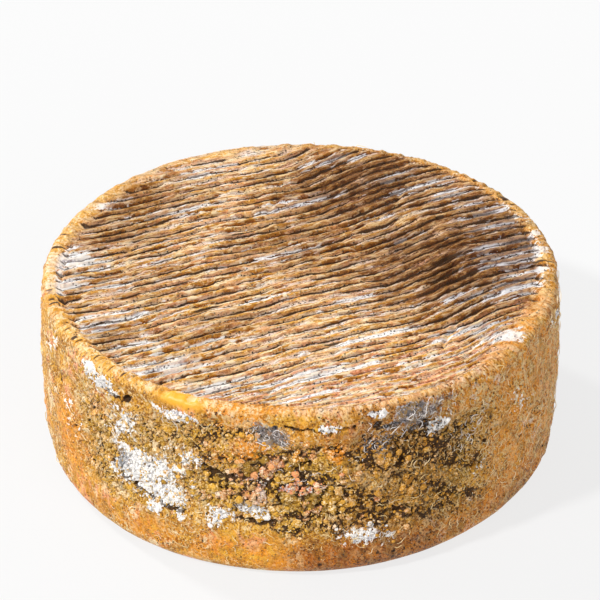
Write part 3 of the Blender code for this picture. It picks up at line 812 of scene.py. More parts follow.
def face_slab(sheet, lines):
    """A stretch of the printed face as a closed slab: the sheet, an upright skirt and a fan below."""
    part = sheet.part(lines, slice(None))
    index = np.arange(part.points[..., 0].size).reshape(part.points.shape[:2])
    corners = part.points.reshape(-1, 3)
    edge = np.concatenate([index[0, :-1], index[:-1, -1], index[-1, :0:-1], index[:0:-1, 0]])
    skirt = corners[edge].copy()
    skirt[:, 2] = HEIGHT - FACE_UNDERSIDE
    low = len(corners) + np.arange(len(edge))
    after = np.roll(np.arange(len(edge)), -1)
    middle = [skirt.mean(0)]
    cuts = np.concatenate([
        np.stack([low, low[after], edge[after]], -1), np.stack([low, edge[after], edge], -1),
        np.stack([np.full(len(edge), low[-1] + 1), low[after], low], -1),
    ])
    corners = np.concatenate([corners, skirt, middle])
    return corners, grid_quads(index), np.empty((0, 3), int), cuts, part, len(edge) + 1


def placed(name, contents):
    """A new object in the scene with this mesh, camera or light in it."""
    made = bpy.data.objects.new(name, contents)
    bpy.context.scene.collection.objects.link(made)
    return made


def piece(name, corners, quads, triangles, cuts, values, finish):
    """A mesh piece from whole arrays, with its marks as attributes. It is smooth, and its cuts are flat."""
    mesh = bpy.data.meshes.new(name)
    mesh.vertices.add(len(corners))
    mesh.vertices.foreach_set("co", np.asarray(corners, np.float32).ravel())
    loops = np.concatenate([quads.ravel(), triangles.ravel(), cuts.ravel()])
    sides = np.concatenate([np.full(len(quads), 4), np.full(len(triangles) + len(cuts), 3)])
    mesh.loops.add(len(loops))
    mesh.loops.foreach_set("vertex_index", loops.astype(np.int32))
    mesh.polygons.add(len(sides))
    mesh.polygons.foreach_set("loop_start", (np.cumsum(sides) - sides).astype(np.int32))
    mesh.update(calc_edges=True)
    for label, numbers in values.items():
        if numbers.ndim == 1:
            mesh.attributes.new(label, "FLOAT", "POINT").data.foreach_set("value", numbers.astype(np.float32))
        else:
            places = mesh.attributes.new(label, "FLOAT_VECTOR", "POINT")
            places.data.foreach_set("vector", numbers.astype(np.float32).ravel())
    mesh.shade_smooth()
    flat = mesh.attributes.new("sharp_face", "BOOLEAN", "FACE") if len(cuts) else None
    if flat:
        flat.data.foreach_set("value", np.arange(len(sides)) >= len(sides) - len(cuts))
    mesh.materials.append(finish)
    return placed(name, mesh)


def rind_values(corners, part, extra):
    """The marks and streak places of a sheet's corners, and of the closing corners that come after them."""
    values = {name: np.concatenate([mark.ravel(), np.zeros(extra)]) for name, mark in part.marks.items()}
    values["flow"] = np.concatenate([part.flow.reshape(-1, 3), corners[len(corners) - extra:]])
    return values


# ---------------------------------------------------------------- crumbs and threads

FLATTENED = 0.35  # the share of its thickness that a crumb loses
CRUMB_MARKS = ("white_mould", "grey_mould", "orange", "tone", "rocky", "brown")  # taken from the rind
THREAD_SIDES, THREAD_POINTS = 3, 6
# Kinds of crumbs: how many, their least and greatest radius, lift, splits, roughness and seed.
CRUMBS = (9500, (0.00026, 0.00080), -0.05, 0, 0.35, 201)
STONES = (1000, (0.0007, 0.0019), -0.15, 1, 0.22, 203)
MOULD_CRUMBS = (2200, (0.0004, 0.0012), -0.25, 1, 0.14, 205)
MOULD_THREADS = (2600, (0.0012, 0.0062), 0.00016, 207)  # how many, their lengths, their radius and seed
LEAST_WEIGHT = 1e-7  # so that every place may be drawn


def ball(splits):
    """The corners and triangles of an icosahedron of radius 1, its triangles split in four so many times."""
    golden = (1 + math.sqrt(5)) / 2
    corners = [np.roll((0, first, second * golden), turn)
               for turn in range(3) for first in (-1, 1) for second in (-1, 1)]
    corners = np.array(corners) / math.hypot(1, golden)
    gaps = np.linalg.norm(corners[:, None] - corners[None], axis=2)
    near = gaps < 1.2 * gaps[gaps > 0].min()
    triples = [(a, b, c) for a, b, c in combinations(range(12), 3)
               if near[a, b] and near[b, c] and near[a, c]]
    outwards = [np.linalg.det(corners[list(triple)]) > 0 for triple in triples]
    triangles = np.array([(a, b, c) if out else (a, c, b) for (a, b, c), out in zip(triples, outwards)])
    for _ in range(splits):
        edges = np.sort(triangles[:, [[0, 1], [1, 2], [2, 0]]].reshape(-1, 2), axis=1)
        edges, number = np.unique(edges, axis=0, return_inverse=True)
        middle = len(corners) + number.reshape(-1, 3)
        halfway = corners[edges].sum(1)
        corners = np.concatenate([corners, halfway / np.linalg.norm(halfway, axis=1)[:, None]])
        (a, b, c), (ab, bc, ca) = triangles.T, middle.T
        triangles = np.stack([a, ab, ca, ab, b, bc, ca, bc, c, ab, bc, ca], -1).reshape(-1, 3)
    return corners, triangles


def turns(rng, count):
    """Random turns in space, as matrices from random unit quaternions."""
    w, x, y, z = rng.normal(size=(count, 4)).T
    size = np.sqrt(w * w + x * x + y * y + z * z)
    w, x, y, z = w / size, x / size, y / size, z / size
    rows = [
        [1 - 2 * (y * y + z * z), 2 * (x * y - w * z), 2 * (x * z + w * y)],
        [2 * (x * y + w * z), 1 - 2 * (x * x + z * z), 2 * (y * z - w * x)],
        [2 * (x * z - w * y), 2 * (y * z + w * x), 1 - 2 * (x * x + y * y)],
    ]
    return np.moveaxis(np.array(rows), -1, 0)


def spots_on(sheet, ways, weight, count, seed):
    """Places on a sheet, drawn once each in proportion to a weight: their indices, points and ways out."""
    rng = np.random.default_rng(seed)
    chosen = rng.choice(weight.size, count, replace=False, p=weight.ravel() / weight.sum())
    return rng, chosen, sheet.points.reshape(-1, 3)[chosen], ways.reshape(-1, 3)[chosen]


def crumb_pile(sheet, ways, weight, count, sizes, lift, splits, roughness, seed):
    """Crumbs bedded in a sheet: split icosahedra, their corners at random distances, turned and flattened.

    A crumb's radius runs from the first of sizes to the second, small ones being commoner. It is flattened
    along the way out of the sheet, and its middle stands lift radii out of it. The facets stay sharp.
    """
    rng, chosen, spots, outwards = spots_on(sheet, ways, weight, count, seed)
    base, triangles = ball(splits)
    size = sizes[0] + (sizes[1] - sizes[0]) * rng.random(count) ** 2.2
    shape = base * rng.uniform(1 - roughness, 1 + roughness, (count, len(base), 1))
    shape = np.einsum("nij,nkj->nki", turns(rng, count), shape * rng.uniform(0.6, 1.3, (count, 1, 3)))
    height = np.einsum("nkj,nj->nk", shape, outwards)
    shape = shape + outwards[:, None] * (lift - FLATTENED * height)[..., None]
    corners = (spots[:, None] + shape * size[:, None, None]).reshape(-1, 3)
    facets = (triangles + len(base) * np.arange(count)[:, None, None]).reshape(-1, 3)
    values = {name: np.repeat(mark.ravel()[chosen], len(base)) for name, mark in sheet.marks.items()
              if name in CRUMB_MARKS}
    # painted shadow, strongest on the side that is bedded in the rind
    values["sunk"] = np.clip(0.28 - 0.95 * height, 0, 1).ravel()
    values["number"] = np.repeat(rng.random(count), len(base))
    return corners, np.empty((0, 4), int), np.empty((0, 3), int), facets, values


def threads(sheet, ways, weight, count, lengths, thickness, seed):
    """Fine threads lying on a sheet: curled tubes with their ends in the rind.

    Along a thread the point is start + length * (t * along + (bow * t * (1 - t) + curl * sin(2 pi t)) *
    aside) + lift * sin(pi t) * out.
    """
    rng, chosen, spots, outwards = spots_on(sheet, ways, weight, count, seed)
    along = rng.normal(size=(count, 3))
    along -= (along * outwards).sum(1)[:, None] * outwards
    along /= np.linalg.norm(along, axis=1)[:, None]
    aside = np.cross(outwards, along)
    t = np.linspace(0, 1, THREAD_POINTS)[None, :, None]
    length = (lengths[0] + (lengths[1] - lengths[0]) * rng.random(count) ** 1.5)[:, None, None]
    bow, curl = rng.uniform(-1.8, 1.8, (count, 1, 1)), rng.uniform(-0.18, 0.18, (count, 1, 1))
    lift = rng.uniform(0.03, 0.16, count)[:, None, None] * length
    aside_share = bow * t * (1 - t) + curl * np.sin(2 * math.pi * t)
    path = spots[:, None] + length * (t * along[:, None] + aside_share * aside[:, None])
    path = path + outwards[:, None] * (lift * np.sin(math.pi * t) + 0.0001)
    step = np.gradient(path, axis=1)
    step /= np.linalg.norm(step, axis=2)[..., None]
    across = np.cross(step, np.broadcast_to(outwards[:, None], step.shape))
    across /= np.linalg.norm(across, axis=2)[..., None]
    over = np.cross(across, step)
    turn = np.arange(THREAD_SIDES) * 2 * math.pi / THREAD_SIDES
    radius = thickness * rng.uniform(0.6, 1.3, count)[:, None, None, None]
    radius = radius * (1 - 0.7 * (2 * t[..., None] - 1) ** 4)
    ring = across[:, :, None] * np.cos(turn)[:, None] + over[:, :, None] * np.sin(turn)[:, None]
    corners = (path[:, :, None] + radius * ring).reshape(-1, 3)
    start = np.arange(count)[:, None] * THREAD_POINTS * THREAD_SIDES
    side = np.arange(THREAD_SIDES)
    after = (side + 1) % THREAD_SIDES
    one = np.concatenate([
        np.stack([side, side + THREAD_SIDES, after + THREAD_SIDES, after], -1) + THREAD_SIDES * number
        for number in range(THREAD_POINTS - 1)
    ])
    last = THREAD_SIDES * (THREAD_POINTS - 1)
    caps = np.array([side, last + side[::-1]])
    quads = (start[:, :, None] + one).reshape(-1, 4)
    triangles = (start[:, :, None] + caps).reshape(-1, 3)
    values = {"number": rng.random(count), "grey_mould": sheet.marks["grey_mould"].ravel()[chosen]}
    values = {name: np.repeat(numbers, THREAD_POINTS * THREAD_SIDES) for name, numbers in values.items()}
    return corners, quads, triangles, np.empty((0, 3), int), values


# ---------------------------------------------------------------- finishes


class Finish:
    """A procedural material: short names for the nodes that the finishes below are made of."""

    def __init__(self, name):
        self.material = bpy.data.materials.new(name)
        self.material.use_nodes = True
        self.tree = self.material.node_tree
        self.surface = self.tree.nodes["Principled BSDF"]
        self.place = self.tree.nodes.new("ShaderNodeTexCoord").outputs["Object"]

    def surface_has(self, **values):
        """Values for the surface's sockets, whose names are given with _ for each space."""
        for label, value in values.items():
            self.feed(self.surface.inputs[label.replace("_", " ")], value)

    def feed(self, socket, value):
        """A value, a colour or another node's output, into a socket."""
        if isinstance(value, bpy.types.NodeSocket):
            self.tree.links.new(value, socket)
        elif isinstance(value, tuple):
            socket.default_value = (*value, 1)
        else:
            socket.default_value = value

    def mark(self, name, output="Fac"):
        """One of the marks that the mesh carries."""
        node = self.tree.nodes.new("ShaderNodeAttribute")
        node.attribute_name = name
        return node.outputs[output]

    def noise(self, size, detail=3.0, roughness=0.55, distortion=0.0, place=None, output="Fac"):
        """A cloudy noise whose blots are about this size in metres."""
        node = self.tree.nodes.new("ShaderNodeTexNoise")
        self.feed(node.inputs["Vector"], place or self.place)
        node.inputs["Scale"].default_value = 1 / size
        node.inputs["Detail"].default_value = detail
        node.inputs["Roughness"].default_value = roughness
        node.inputs["Distortion"].default_value = distortion
        return node.outputs[output]

    def shaken(self, size, amount):
        """The place, pushed about by up to half this amount in metres, so that edges read there are torn."""
        node = self.tree.nodes.new("ShaderNodeVectorMath")
        node.operation = "MULTIPLY_ADD"
        self.feed(node.inputs[0], self.noise(size, 2.0, output="Color"))
        node.inputs[1].default_value = (amount, amount, amount)
        self.feed(node.inputs[2], self.place)
        return node.outputs["Vector"]

    def cells(self, size, place=None):
        """A scatter of points, one to a cell of this size: how far the nearest is, and two random numbers."""
        node = self.tree.nodes.new("ShaderNodeTexVoronoi")
        self.feed(node.inputs["Vector"], place or self.place)
        node.inputs["Scale"].default_value = 1 / size
        parts = self.tree.nodes.new("ShaderNodeSeparateColor")
        self.feed(parts.inputs["Color"], node.outputs["Color"])
        return node.outputs["Distance"], parts.outputs["Red"], parts.outputs["Green"]

    def sum(self, kind, first, second=0.0, third=0.0):
        """Two or three values put together by the Math node's operation of this name."""
        node = self.tree.nodes.new("ShaderNodeMath")
        node.operation = kind
        for socket, value in zip(node.inputs, (first, second, third)):
            self.feed(socket, value)
        return node.outputs["Value"]

    def times(self, *values):
        """The product of some values."""
        product = values[0]
        for value in values[1:]:
            product = self.sum("MULTIPLY", product, value)
        return product

    def without(self, value, *others):
        """value * (1 - share * other), for each other value and the share after it, which may be left out."""
        for other, share in zip_longest(others[::2], others[1::2], fillvalue=1.0):
            value = self.sum("MULTIPLY", value, self.sum("MULTIPLY_ADD", other, -share, 1.0))
        return value

    def most(self, first, *others):
        """The greatest of some values."""
        for other in others:
            first = self.sum("MAXIMUM", first, other)
        return first

    def plus(self, value, *noises):
        """value + share * (noise - 1/2), for each noise and the share after it."""
        for noise, share in zip(noises[::2], noises[1::2]):
            value = self.sum("ADD", value, self.sum("MULTIPLY_ADD", noise, share, -0.5 * share))
        return value

    def swing(self, value, share):
        """1/2 + share * (value - 1/2): a noise whose swing about its middle is lessened."""
        return self.sum("MULTIPLY_ADD", self.sum("SUBTRACT", value, 0.5), share, 0.5)

    def step(self, value, low, high, bottom=0.0, top=1.0):
        """bottom up to low, top from high on, and an S-curve between."""
        node = self.tree.nodes.new("ShaderNodeMapRange")
        node.interpolation_type = "SMOOTHSTEP"
        if low > high:
            low, high, bottom, top = high, low, top, bottom
        for label, number in (("From Min", low), ("From Max", high), ("To Min", bottom), ("To Max", top)):
            node.inputs[label].default_value = number
        self.feed(node.inputs["Value"], value)
        return node.outputs["Result"]

    def near_middle(self, value, half_width):
        """1 where a value is 1/2, falling to 0 this far from it: a noise's own contour, a curly line."""
        return self.step(self.sum("ABSOLUTE", self.sum("SUBTRACT", value, 0.5)), half_width, 0.4 * half_width)

    def mix(self, share, first, second, kind="MIX"):
        """Two colours, mixed, or put together by the Mix node's blending of this name."""
        node = self.tree.nodes.new("ShaderNodeMix")
        node.data_type = "RGBA"
        node.blend_type = kind
        sockets = [socket for socket in node.inputs if socket.type == "RGBA"]
        self.feed(node.inputs["Factor"], share)
        self.feed(sockets[0], first)
        self.feed(sockets[1], second)
        return next(socket for socket in node.outputs if socket.type == "RGBA")

    def bump(self, height, depth):
        """Relief that is too fine for the mesh: a height of 1 stands this deep in metres."""
        node = self.tree.nodes.new("ShaderNodeBump")
        node.inputs["Distance"].default_value = depth
        self.feed(node.inputs["Height"], height)
        self.surface_has(Normal=node.outputs["Normal"])


# Colours of the rind.
GOLD, OCHRE, TAN, STRAW = (0.74, 0.37, 0.032), (0.53, 0.225, 0.014), (0.66, 0.385, 0.12), (0.78, 0.58, 0.27)
CREST, HONEY = (0.76, 0.38, 0.062), (0.60, 0.27, 0.024)
ORANGE, SALMON, CREAM = (0.74, 0.26, 0.010), (0.78, 0.29, 0.13), (0.92, 0.75, 0.48)
MUSTARD, OLIVE = (0.66, 0.36, 0.042), (0.33, 0.175, 0.018)
RUSSET, BROWN = (0.48, 0.17, 0.012), (0.24, 0.095, 0.015)
UMBER, SOOT = (0.050, 0.020, 0.005), (0.014, 0.010, 0.008)
WHITE, PALE_LILAC = (0.90, 0.88, 0.85), (0.83, 0.77, 0.73)
LILAC, SLATE = (0.50, 0.48, 0.51), (0.115, 0.125, 0.14)
SHEEN = 0.25  # the specular level of rind and crumbs
PORE_SHADE = (0.42, 0.30, 0.18)  # painted shade: what the pores, the gaps between grains, the beads' feet and the lows of crumbs keep of each colour; it also darkens the crests' hairs
FLANK_SHADE = (0.62, 0.48, 0.32)  # and what painted shade leaves on the ridges' flanks towards -Y and on the wall's foot, and what a darker stretch above it and the face's brown parts keep


def belt_colour(finish, tone, mottle, rocky):
    """The broken belt's colour: lumps from olive through mustard and tan to cream, a few salmon or lilac."""
    mix, step, times = finish.mix, finish.step, finish.times
    hue = finish.plus(tone, mottle, 1.4)
    colour = mix(step(hue, -0.04, 0.20), OLIVE, MUSTARD)
    colour = mix(step(hue, 0.44, 0.66), colour, TAN)
    colour = mix(step(hue, 0.84, 1.02, 0.0, 0.85), colour, CREAM)
    colour = mix(times(rocky, step(tone, 0.70, 0.73)), colour, SALMON)
    return mix(times(rocky, step(tone, 0.93, 0.95)), colour, LILAC)


def rind_finish():
    """The washed rind: gold to orange on the wall, olive and tan where broken, ridged on the printed face.

    The base colours lie in clouds, with blotches, fine curls and specks of cream over them, the specks partly
    painted glints. Crests are golden cords with painted highlights as pale dashes and with dark hairs, with
    painted shade on the flank towards -Y, and the valleys between them are dusty. The rim's beads get painted
    highlights on top and painted shade at their feet. So does the fine relief: painted highlights on its
    peaks and on the grains' tops, painted shade in its pores and between grains. Gaps, grooves and the wall's
    foot get darker painted shade still, and torn cakes of white mould, grey bloom with pale veins, and black
    dots come last.
    """
    rind = Finish("washed_rind")
    noise, near_middle, mix, step, times = rind.noise, rind.near_middle, rind.mix, rind.step, rind.times
    plus, without, most, swing = rind.plus, rind.without, rind.most, rind.swing
    printed, cord, sunk, orange, brown = map(rind.mark, ("printed", "cord", "sunk", "orange", "brown"))
    crumbly, rocky, tone, calm = map(rind.mark, ("crumbly", "rocky", "tone", "calm"))
    curly, white, grey = map(rind.mark, ("curly", "white_mould", "grey_mould"))
    rimmed, glazed, flank, bead = map(rind.mark, ("rimmed", "glazed", "flank", "bead"))
    grain, grain_tone = map(rind.mark, ("grain", "grain_tone"))
    flow = rind.mark("flow", "Vector")
    ridge = times(printed, cord)

    mottle = noise(0.0085, 4.0, 0.60)
    clusters = noise(0.0120, 3.0, 0.60)
    streaks = noise(0.0062, 4.0, 0.62, 0.5, flow)
    fine_streaks = noise(0.0022, 3.0, 0.60, 0.6, flow)
    dashes = noise(0.0010, 2.0, 0.60, 0.3, flow)
    hairs = noise(0.0006, 2.0, 0.60, 0.2, flow)
    fine = noise(0.0010, 3.0, 0.65)
    shaken = rind.shaken(0.0011, 0.0009)
    dot, dot_tone, speck_tone = rind.cells(0.0016, shaken)
    rough = swing(fine, without(1.0, ridge, 0.40))
    rough = plus(rough, swing(dashes, without(1.0, rimmed, 0.8)), 0.9)
    grained = plus(grain, rough, 0.8)

    # The wall: clouds of gold, salmon and orange, the broken belt, and the browner stretches: the curly side,
    # a stretch above the foot, and the foot, where it is painted shade.
    wall = mix(step(mottle, 0.42, 0.58), OCHRE, GOLD)
    wall = mix(times(step(clusters, 0.50, 0.58), step(streaks, 0.46, 0.56)), wall, SALMON)
    wall = mix(times(most(orange, times(curly, 0.8)), step(streaks, 0.36, 0.50)), wall, ORANGE)
    broken = belt_colour(rind, plus(tone, fine, 0.6), mottle, rocky)
    wall = mix(without(crumbly, times(orange, step(mottle, 0.40, 0.52)), 0.8), wall, broken)
    wall = mix(times(brown, step(streaks, 0.50, 0.42, 0.0, 0.6)), wall, RUSSET)
    wall = mix(times(brown, step(clusters, 0.53, 0.56, 0.0, 0.7)), wall, OLIVE)

    # The print: crests with hairs and painted highlights as dashes, dusty valleys, and the beads of the rim
    # with painted highlights on their tops and painted shade at their feet.
    crest = mix(step(streaks, 0.38, 0.58), HONEY, CREST)
    crest = mix(times(most(orange, 0.55), step(fine_streaks, 0.49, 0.55)), crest, SALMON)
    crest = mix(times(brown, step(streaks, 0.66, 0.40, 0.75, 1.0)), crest, BROWN)
    crest = mix(times(brown, step(hairs, 0.53, 0.60), 0.75), crest, TAN)
    crest = mix(step(hairs, 0.46, 0.38, 0.0, 0.75), crest, PORE_SHADE, "MULTIPLY")
    # Painted highlights: pale dashes along the crests' tops.
    crest_highlights = without(step(dashes, 0.54, 0.59, 0.0, 0.90), brown, 0.7)
    crest = mix(times(crest_highlights, step(cord, 0.40, 0.85)), crest, CREAM)
    dusty = step(plus(streaks, fine_streaks, 1.0, dashes, 0.6, brown, -0.16), 0.41, 0.47)
    dust = mix(step(mottle, 0.40, 0.56), CREAM, PALE_LILAC)
    dust = mix(times(most(orange, 0.35), step(fine_streaks, 0.48, 0.56, 0.0, 0.9)), dust, SALMON)
    valley = mix(dusty, mix(brown, RUSSET, BROWN), dust)
    colour = mix(printed, wall, mix(cord, valley, crest))
    beads = mix(step(mottle, 0.46, 0.60, 0.0, 0.75), mix(times(orange, 0.8), GOLD, ORANGE), TAN)
    # Painted highlights on the beads' tops, and painted shade at their feet.
    beads = mix(step(plus(bead, fine, 2.4), 0.62, 0.90, 0.0, 0.90), beads, CREAM)
    beads = mix(step(plus(bead, fine, 0.6), 0.42, 0.10, 0.0, 0.90), beads, PORE_SHADE, "MULTIPLY")
    colour = mix(times(rimmed, 0.85), colour, beads)
    # Painted shade on the ridges' flanks towards -Y, and on the wall's foot with a darker stretch above it.
    colour = mix(without(flank, printed, 0.2), colour, FLANK_SHADE, "MULTIPLY")

    # Pale flecks and painted highlights: blotches, curls, specks that are partly painted glints, and painted
    # highlights on the relief's peaks and on the tops of grains. Then painted shade in pores, between grains
    # and in deep places.
    blotch = without(step(plus(streaks, fine_streaks, 0.9), 0.575, 0.605), curly, 0.5, rimmed, 0.5)
    curls = most(
        near_middle(noise(0.0028, 1.0, 0.5, 1.6), 0.050),
        near_middle(noise(0.0019, 1.0, 0.5, 1.2), 0.045),
    )
    curls = times(curls, step(fine_streaks, 0.47, 0.52), step(curly, 0.0, 0.8, 0.2, 1.0))
    # Specks of cream, partly the rind's own flecks and partly painted glints.
    specks_and_glints = times(step(dot, 0.27, 0.18), rind.sum("GREATER_THAN", speck_tone, 0.66))
    # Painted highlights on the fine relief's peaks.
    peak_highlights = without(step(rough, 0.61, 0.66, 0.0, 0.70), curly, 0.5)
    flecks_and_highlights = without(most(times(blotch, 0.85), curls, specks_and_glints, peak_highlights), calm, 0.75, printed, 0.6)
    flecks_and_highlights = most(flecks_and_highlights, times(specks_and_glints, printed, 0.8))
    flecks_and_highlights = without(flecks_and_highlights, glazed, 1.0, crumbly, 0.35, times(brown, printed), 0.5)
    # Painted highlights on the tops of grains.
    grain_highlights = step(rind.sum("ADD", grained, times(rocky, 0.10)), 0.74, 0.90)
    grain_highlights = times(grain_highlights, step(grain_tone, 0.44, 0.50), most(crumbly, ridge, 0.3))
    grain_highlights = without(grain_highlights, most(calm, glazed), 1.0, times(brown, printed), 0.6)
    flecks_and_highlights = without(most(flecks_and_highlights, times(grain_highlights, 0.70)), flank, 0.6, rimmed, 0.5)
    pale = mix(plus(without(tone, curly, 0.2), fine, 1.2), STRAW, CREAM)
    pale = mix(times(curly, step(mottle, 0.60, 0.64, 0.0, 0.7)), pale, PALE_LILAC)
    colour = mix(flecks_and_highlights, colour, pale)
    # Painted shade in the fine relief's lows, which are its pores, and in the gaps between grains.
    painted_pore_shade = without(step(rough, 0.46, 0.39), calm, 0.5, glazed, 1.0, ridge, 0.4, rimmed, 0.7)
    gaps = times(step(grained, 0.04, -0.12), most(crumbly, curly, times(printed, 0.8), 0.3))
    painted_pore_shade = most(painted_pore_shade, without(gaps, most(calm, glazed)))
    colour = mix(without(painted_pore_shade, flecks_and_highlights), colour, PORE_SHADE, "MULTIPLY")
    colour = mix(times(glazed, 0.9), colour, GOLD)
    # Painted shade, down to umber, in hollows, gaps, the foot and the relief's lows.
    shade = plus(sunk, times(curly, painted_pore_shade), 0.50, rough, 0.55)
    shade = rind.sum("ADD", shade, times(without(flank, printed), 0.30))
    deep = step(shade, 0.16, 0.44)
    colour = mix(times(brown, printed, 0.8), colour, FLANK_SHADE, "MULTIPLY")
    colour = mix(times(deep, 0.96), colour, UMBER)

    # Mould: white cakes and powder, then grey bloom with veins, then black dots.
    caked = plus(white, mottle, 0.5, fine_streaks, 1.2, rough, 0.8)
    caked = plus(caked, swing(dashes, printed), 1.1, swing(hairs, printed), 1.3)
    caked = rind.sum("SUBTRACT", caked, without(0.03, printed))
    hidden = most(step(ridge, 0.2, 0.9, 1.0, 0.12), step(white, 0.88, 1.05, 0.0, 0.75))
    powder = times(step(caked, 0.46, 0.56), hidden, step(deep, 0.9, 0.3, 0.25, 1.0))
    powder = without(powder, most(rimmed, glazed), 0.85)
    # White mould on the relief's highs, lilac in its lows: partly its own lilac, partly painted shade.
    mould = mix(step(plus(rough, mottle, 1.6, tone, 0.3), 0.26, 0.44), LILAC, WHITE)
    mould = mix(times(brown, printed, 0.75), mould, LILAC)
    colour = mix(times(powder, 0.96), colour, mould)
    bloom = times(step(plus(grey, fine, 1.3), 0.46, 0.80), 0.85)
    veins = step(most(rough, times(curls, 0.6)), 0.56, 0.62)
    ground = mix(step(fine_streaks, 0.50, 0.54), SLATE, mix(curly, SLATE, OLIVE))
    colour = mix(bloom, colour, mix(veins, ground, LILAC))

    dots = plus(dot_tone, clusters, 1.6, without(printed, cord), 0.5)
    dots = times(step(dot, 0.30, 0.20), rind.sum("GREATER_THAN", dots, 0.42))
    dots = without(dots, glazed, 1.0, rimmed, 0.6, calm, 0.5)
    dots = times(dots, step(ridge, 0.3, 0.9, 1.0, 0.70))
    colour = mix(times(dots, 0.92), colour, SOOT)

    # The shine and the finest relief.
    dull = rind.sum("ADD", step(fine, 0.35, 0.70, 0.36, 0.58), times(powder, 0.35))
    dull = rind.sum("SUBTRACT", dull, times(glazed, 0.10))
    rind.surface_has(Base_Color=colour, Roughness=dull, Specular_IOR_Level=SHEEN)
    relief = without(rough, calm, 0.5, glazed, 0.9, rimmed, 0.4)
    relief = rind.sum("SUBTRACT", rind.sum("ADD", relief, times(flecks_and_highlights, 0.12)), times(dots, 0.5))
    rind.bump(relief, 0.0011)
    return rind.material


def crumb_finish():
    """Loose crumbs, coloured as the belt they lie on, with cream specks that are partly painted glints,
    painted shade in the lows of their relief, a painted shadow at their foot, and powdery mould.
    """
    crumb = Finish("rind_crumb")
    mix, step, times, plus, without = crumb.mix, crumb.step, crumb.times, crumb.plus, crumb.without
    number, tone, sunk, rocky = map(crumb.mark, ("number", "tone", "sunk", "rocky"))
    white, grey, orange, brown = map(crumb.mark, ("white_mould", "grey_mould", "orange", "brown"))
    mottle = crumb.noise(0.0085, 4.0, 0.60)
    fine = crumb.noise(0.0009, 3.0, 0.65)
    colour = belt_colour(crumb, plus(tone, number, 0.45, fine, 0.5), mottle, rocky)
    colour = mix(times(orange, step(plus(mottle, number, 0.2), 0.42, 0.54)), colour, ORANGE)
    colour = mix(times(brown, 0.6), colour, RUSSET)
    # Cream specks, partly the crumbs' own flecks and partly painted glints.
    pale = step(plus(fine, number, 0.2), 0.56, 0.64, 0.0, 0.85)
    colour = mix(without(pale, brown, 0.6), colour, CREAM)
    # Painted shade in the lows of the crumbs' fine relief.
    colour = mix(step(fine, 0.45, 0.35, 0.0, 0.85), colour, PORE_SHADE, "MULTIPLY")
    powder = step(plus(white, fine, 0.9, number, 1.6), 0.54, 0.64)
    powder = times(powder, step(white, 0.15, 0.40))
    # Mould powder, white on the relief's highs and lilac in its lows, partly painted shade.
    colour = mix(times(powder, 0.95), colour, mix(step(fine, 0.32, 0.46), LILAC, WHITE))
    colour = mix(step(plus(grey, fine, 1.2), 0.60, 0.95, 0.0, 0.8), colour, SLATE)
    # Painted shadow at each crumb's bedded foot, in umber.
    dark = without(step(plus(sunk, fine, 0.6), 0.36, 0.80, 0.0, 0.95), powder, 0.6)
    colour = mix(dark, colour, UMBER)
    dull = crumb.sum("ADD", 0.46, times(powder, 0.4))
    crumb.surface_has(Base_Color=colour, Roughness=dull, Specular_IOR_Level=SHEEN)
    crumb.bump(fine, 0.00050)
    return crumb.material


def thread_finish():
    """Threads of mould: straw to cream, pale lilac where the mould is grey, and dull."""
    thread = Finish("mould_thread")
    colour = thread.mix(thread.step(thread.mark("number"), 0.40, 0.90), STRAW, CREAM)
    colour = thread.mix(thread.step(thread.mark("grey_mould"), 0.10, 0.35), colour, PALE_LILAC)
    thread.surface_has(Base_Color=colour, Roughness=0.8)
    thread.bump(thread.noise(0.0008, 2.0), 0.00005)
    return thread.material


# ---------------------------------------------------------------- camera, light and floor

VIEW_AZIMUTH, VIEW_ELEVATION, VIEW_DISTANCE = -24.0, 33.73, 1.040
VIEW_PITCH = 1.08  # how much higher than the wheel's middle the camera looks, in degrees
VIEW_SWING = 0.046  # and how much further left
LENS, SENSOR = 134.5, 36.0
SURROUND, FLOOR_GREY, FLOOR_GLOW = 0.42, 0.10, 0.77
FLOOR_REACH, FLOOR_DROP = 9, 0.0002
# Lights: azimuth from the camera's, elevation, strength and spread in degrees.
SUNS = (("left_key", -60, 44, 3.0, 5), ("back_key", -132, 38, 2.0, 6), ("fill", 35, 24, 0.93, 45))


def backwards(azimuth, elevation):
    """The unit way back from the wheel to a viewer or a light there, with azimuths counted from -Y."""
    turn, rise = math.radians(azimuth), math.radians(elevation)
    return Vector((math.sin(turn) * math.cos(rise), -math.cos(turn) * math.cos(rise), math.sin(rise)))


def set_camera():
    """A long lens from the front, a little to the left, looking down on the wheel."""
    camera = placed("camera", bpy.data.cameras.new("camera"))
    camera.data.lens = LENS
    camera.data.sensor_width = SENSOR
    camera.data.clip_start = 0.01
    camera.location = Vector((0, 0, HEIGHT / 2)) + backwards(VIEW_AZIMUTH, VIEW_ELEVATION) * VIEW_DISTANCE
    pitch, turn = 90 - VIEW_ELEVATION + VIEW_PITCH, VIEW_AZIMUTH + VIEW_SWING
    camera.rotation_euler = (math.radians(pitch), 0, math.radians(turn))
    bpy.context.scene.camera = camera


def set_sun(name, azimuth, elevation, strength, spread):
    """A far soft light, spread over this angle in degrees, from an azimuth counted from the camera's."""
    light = bpy.data.lights.new(name, "SUN")
    light.energy = strength
    light.angle = math.radians(spread)
    way = backwards(VIEW_AZIMUTH + azimuth, elevation)
    placed(name, light).rotation_euler = way.to_track_quat("Z", "Y").to_euler()


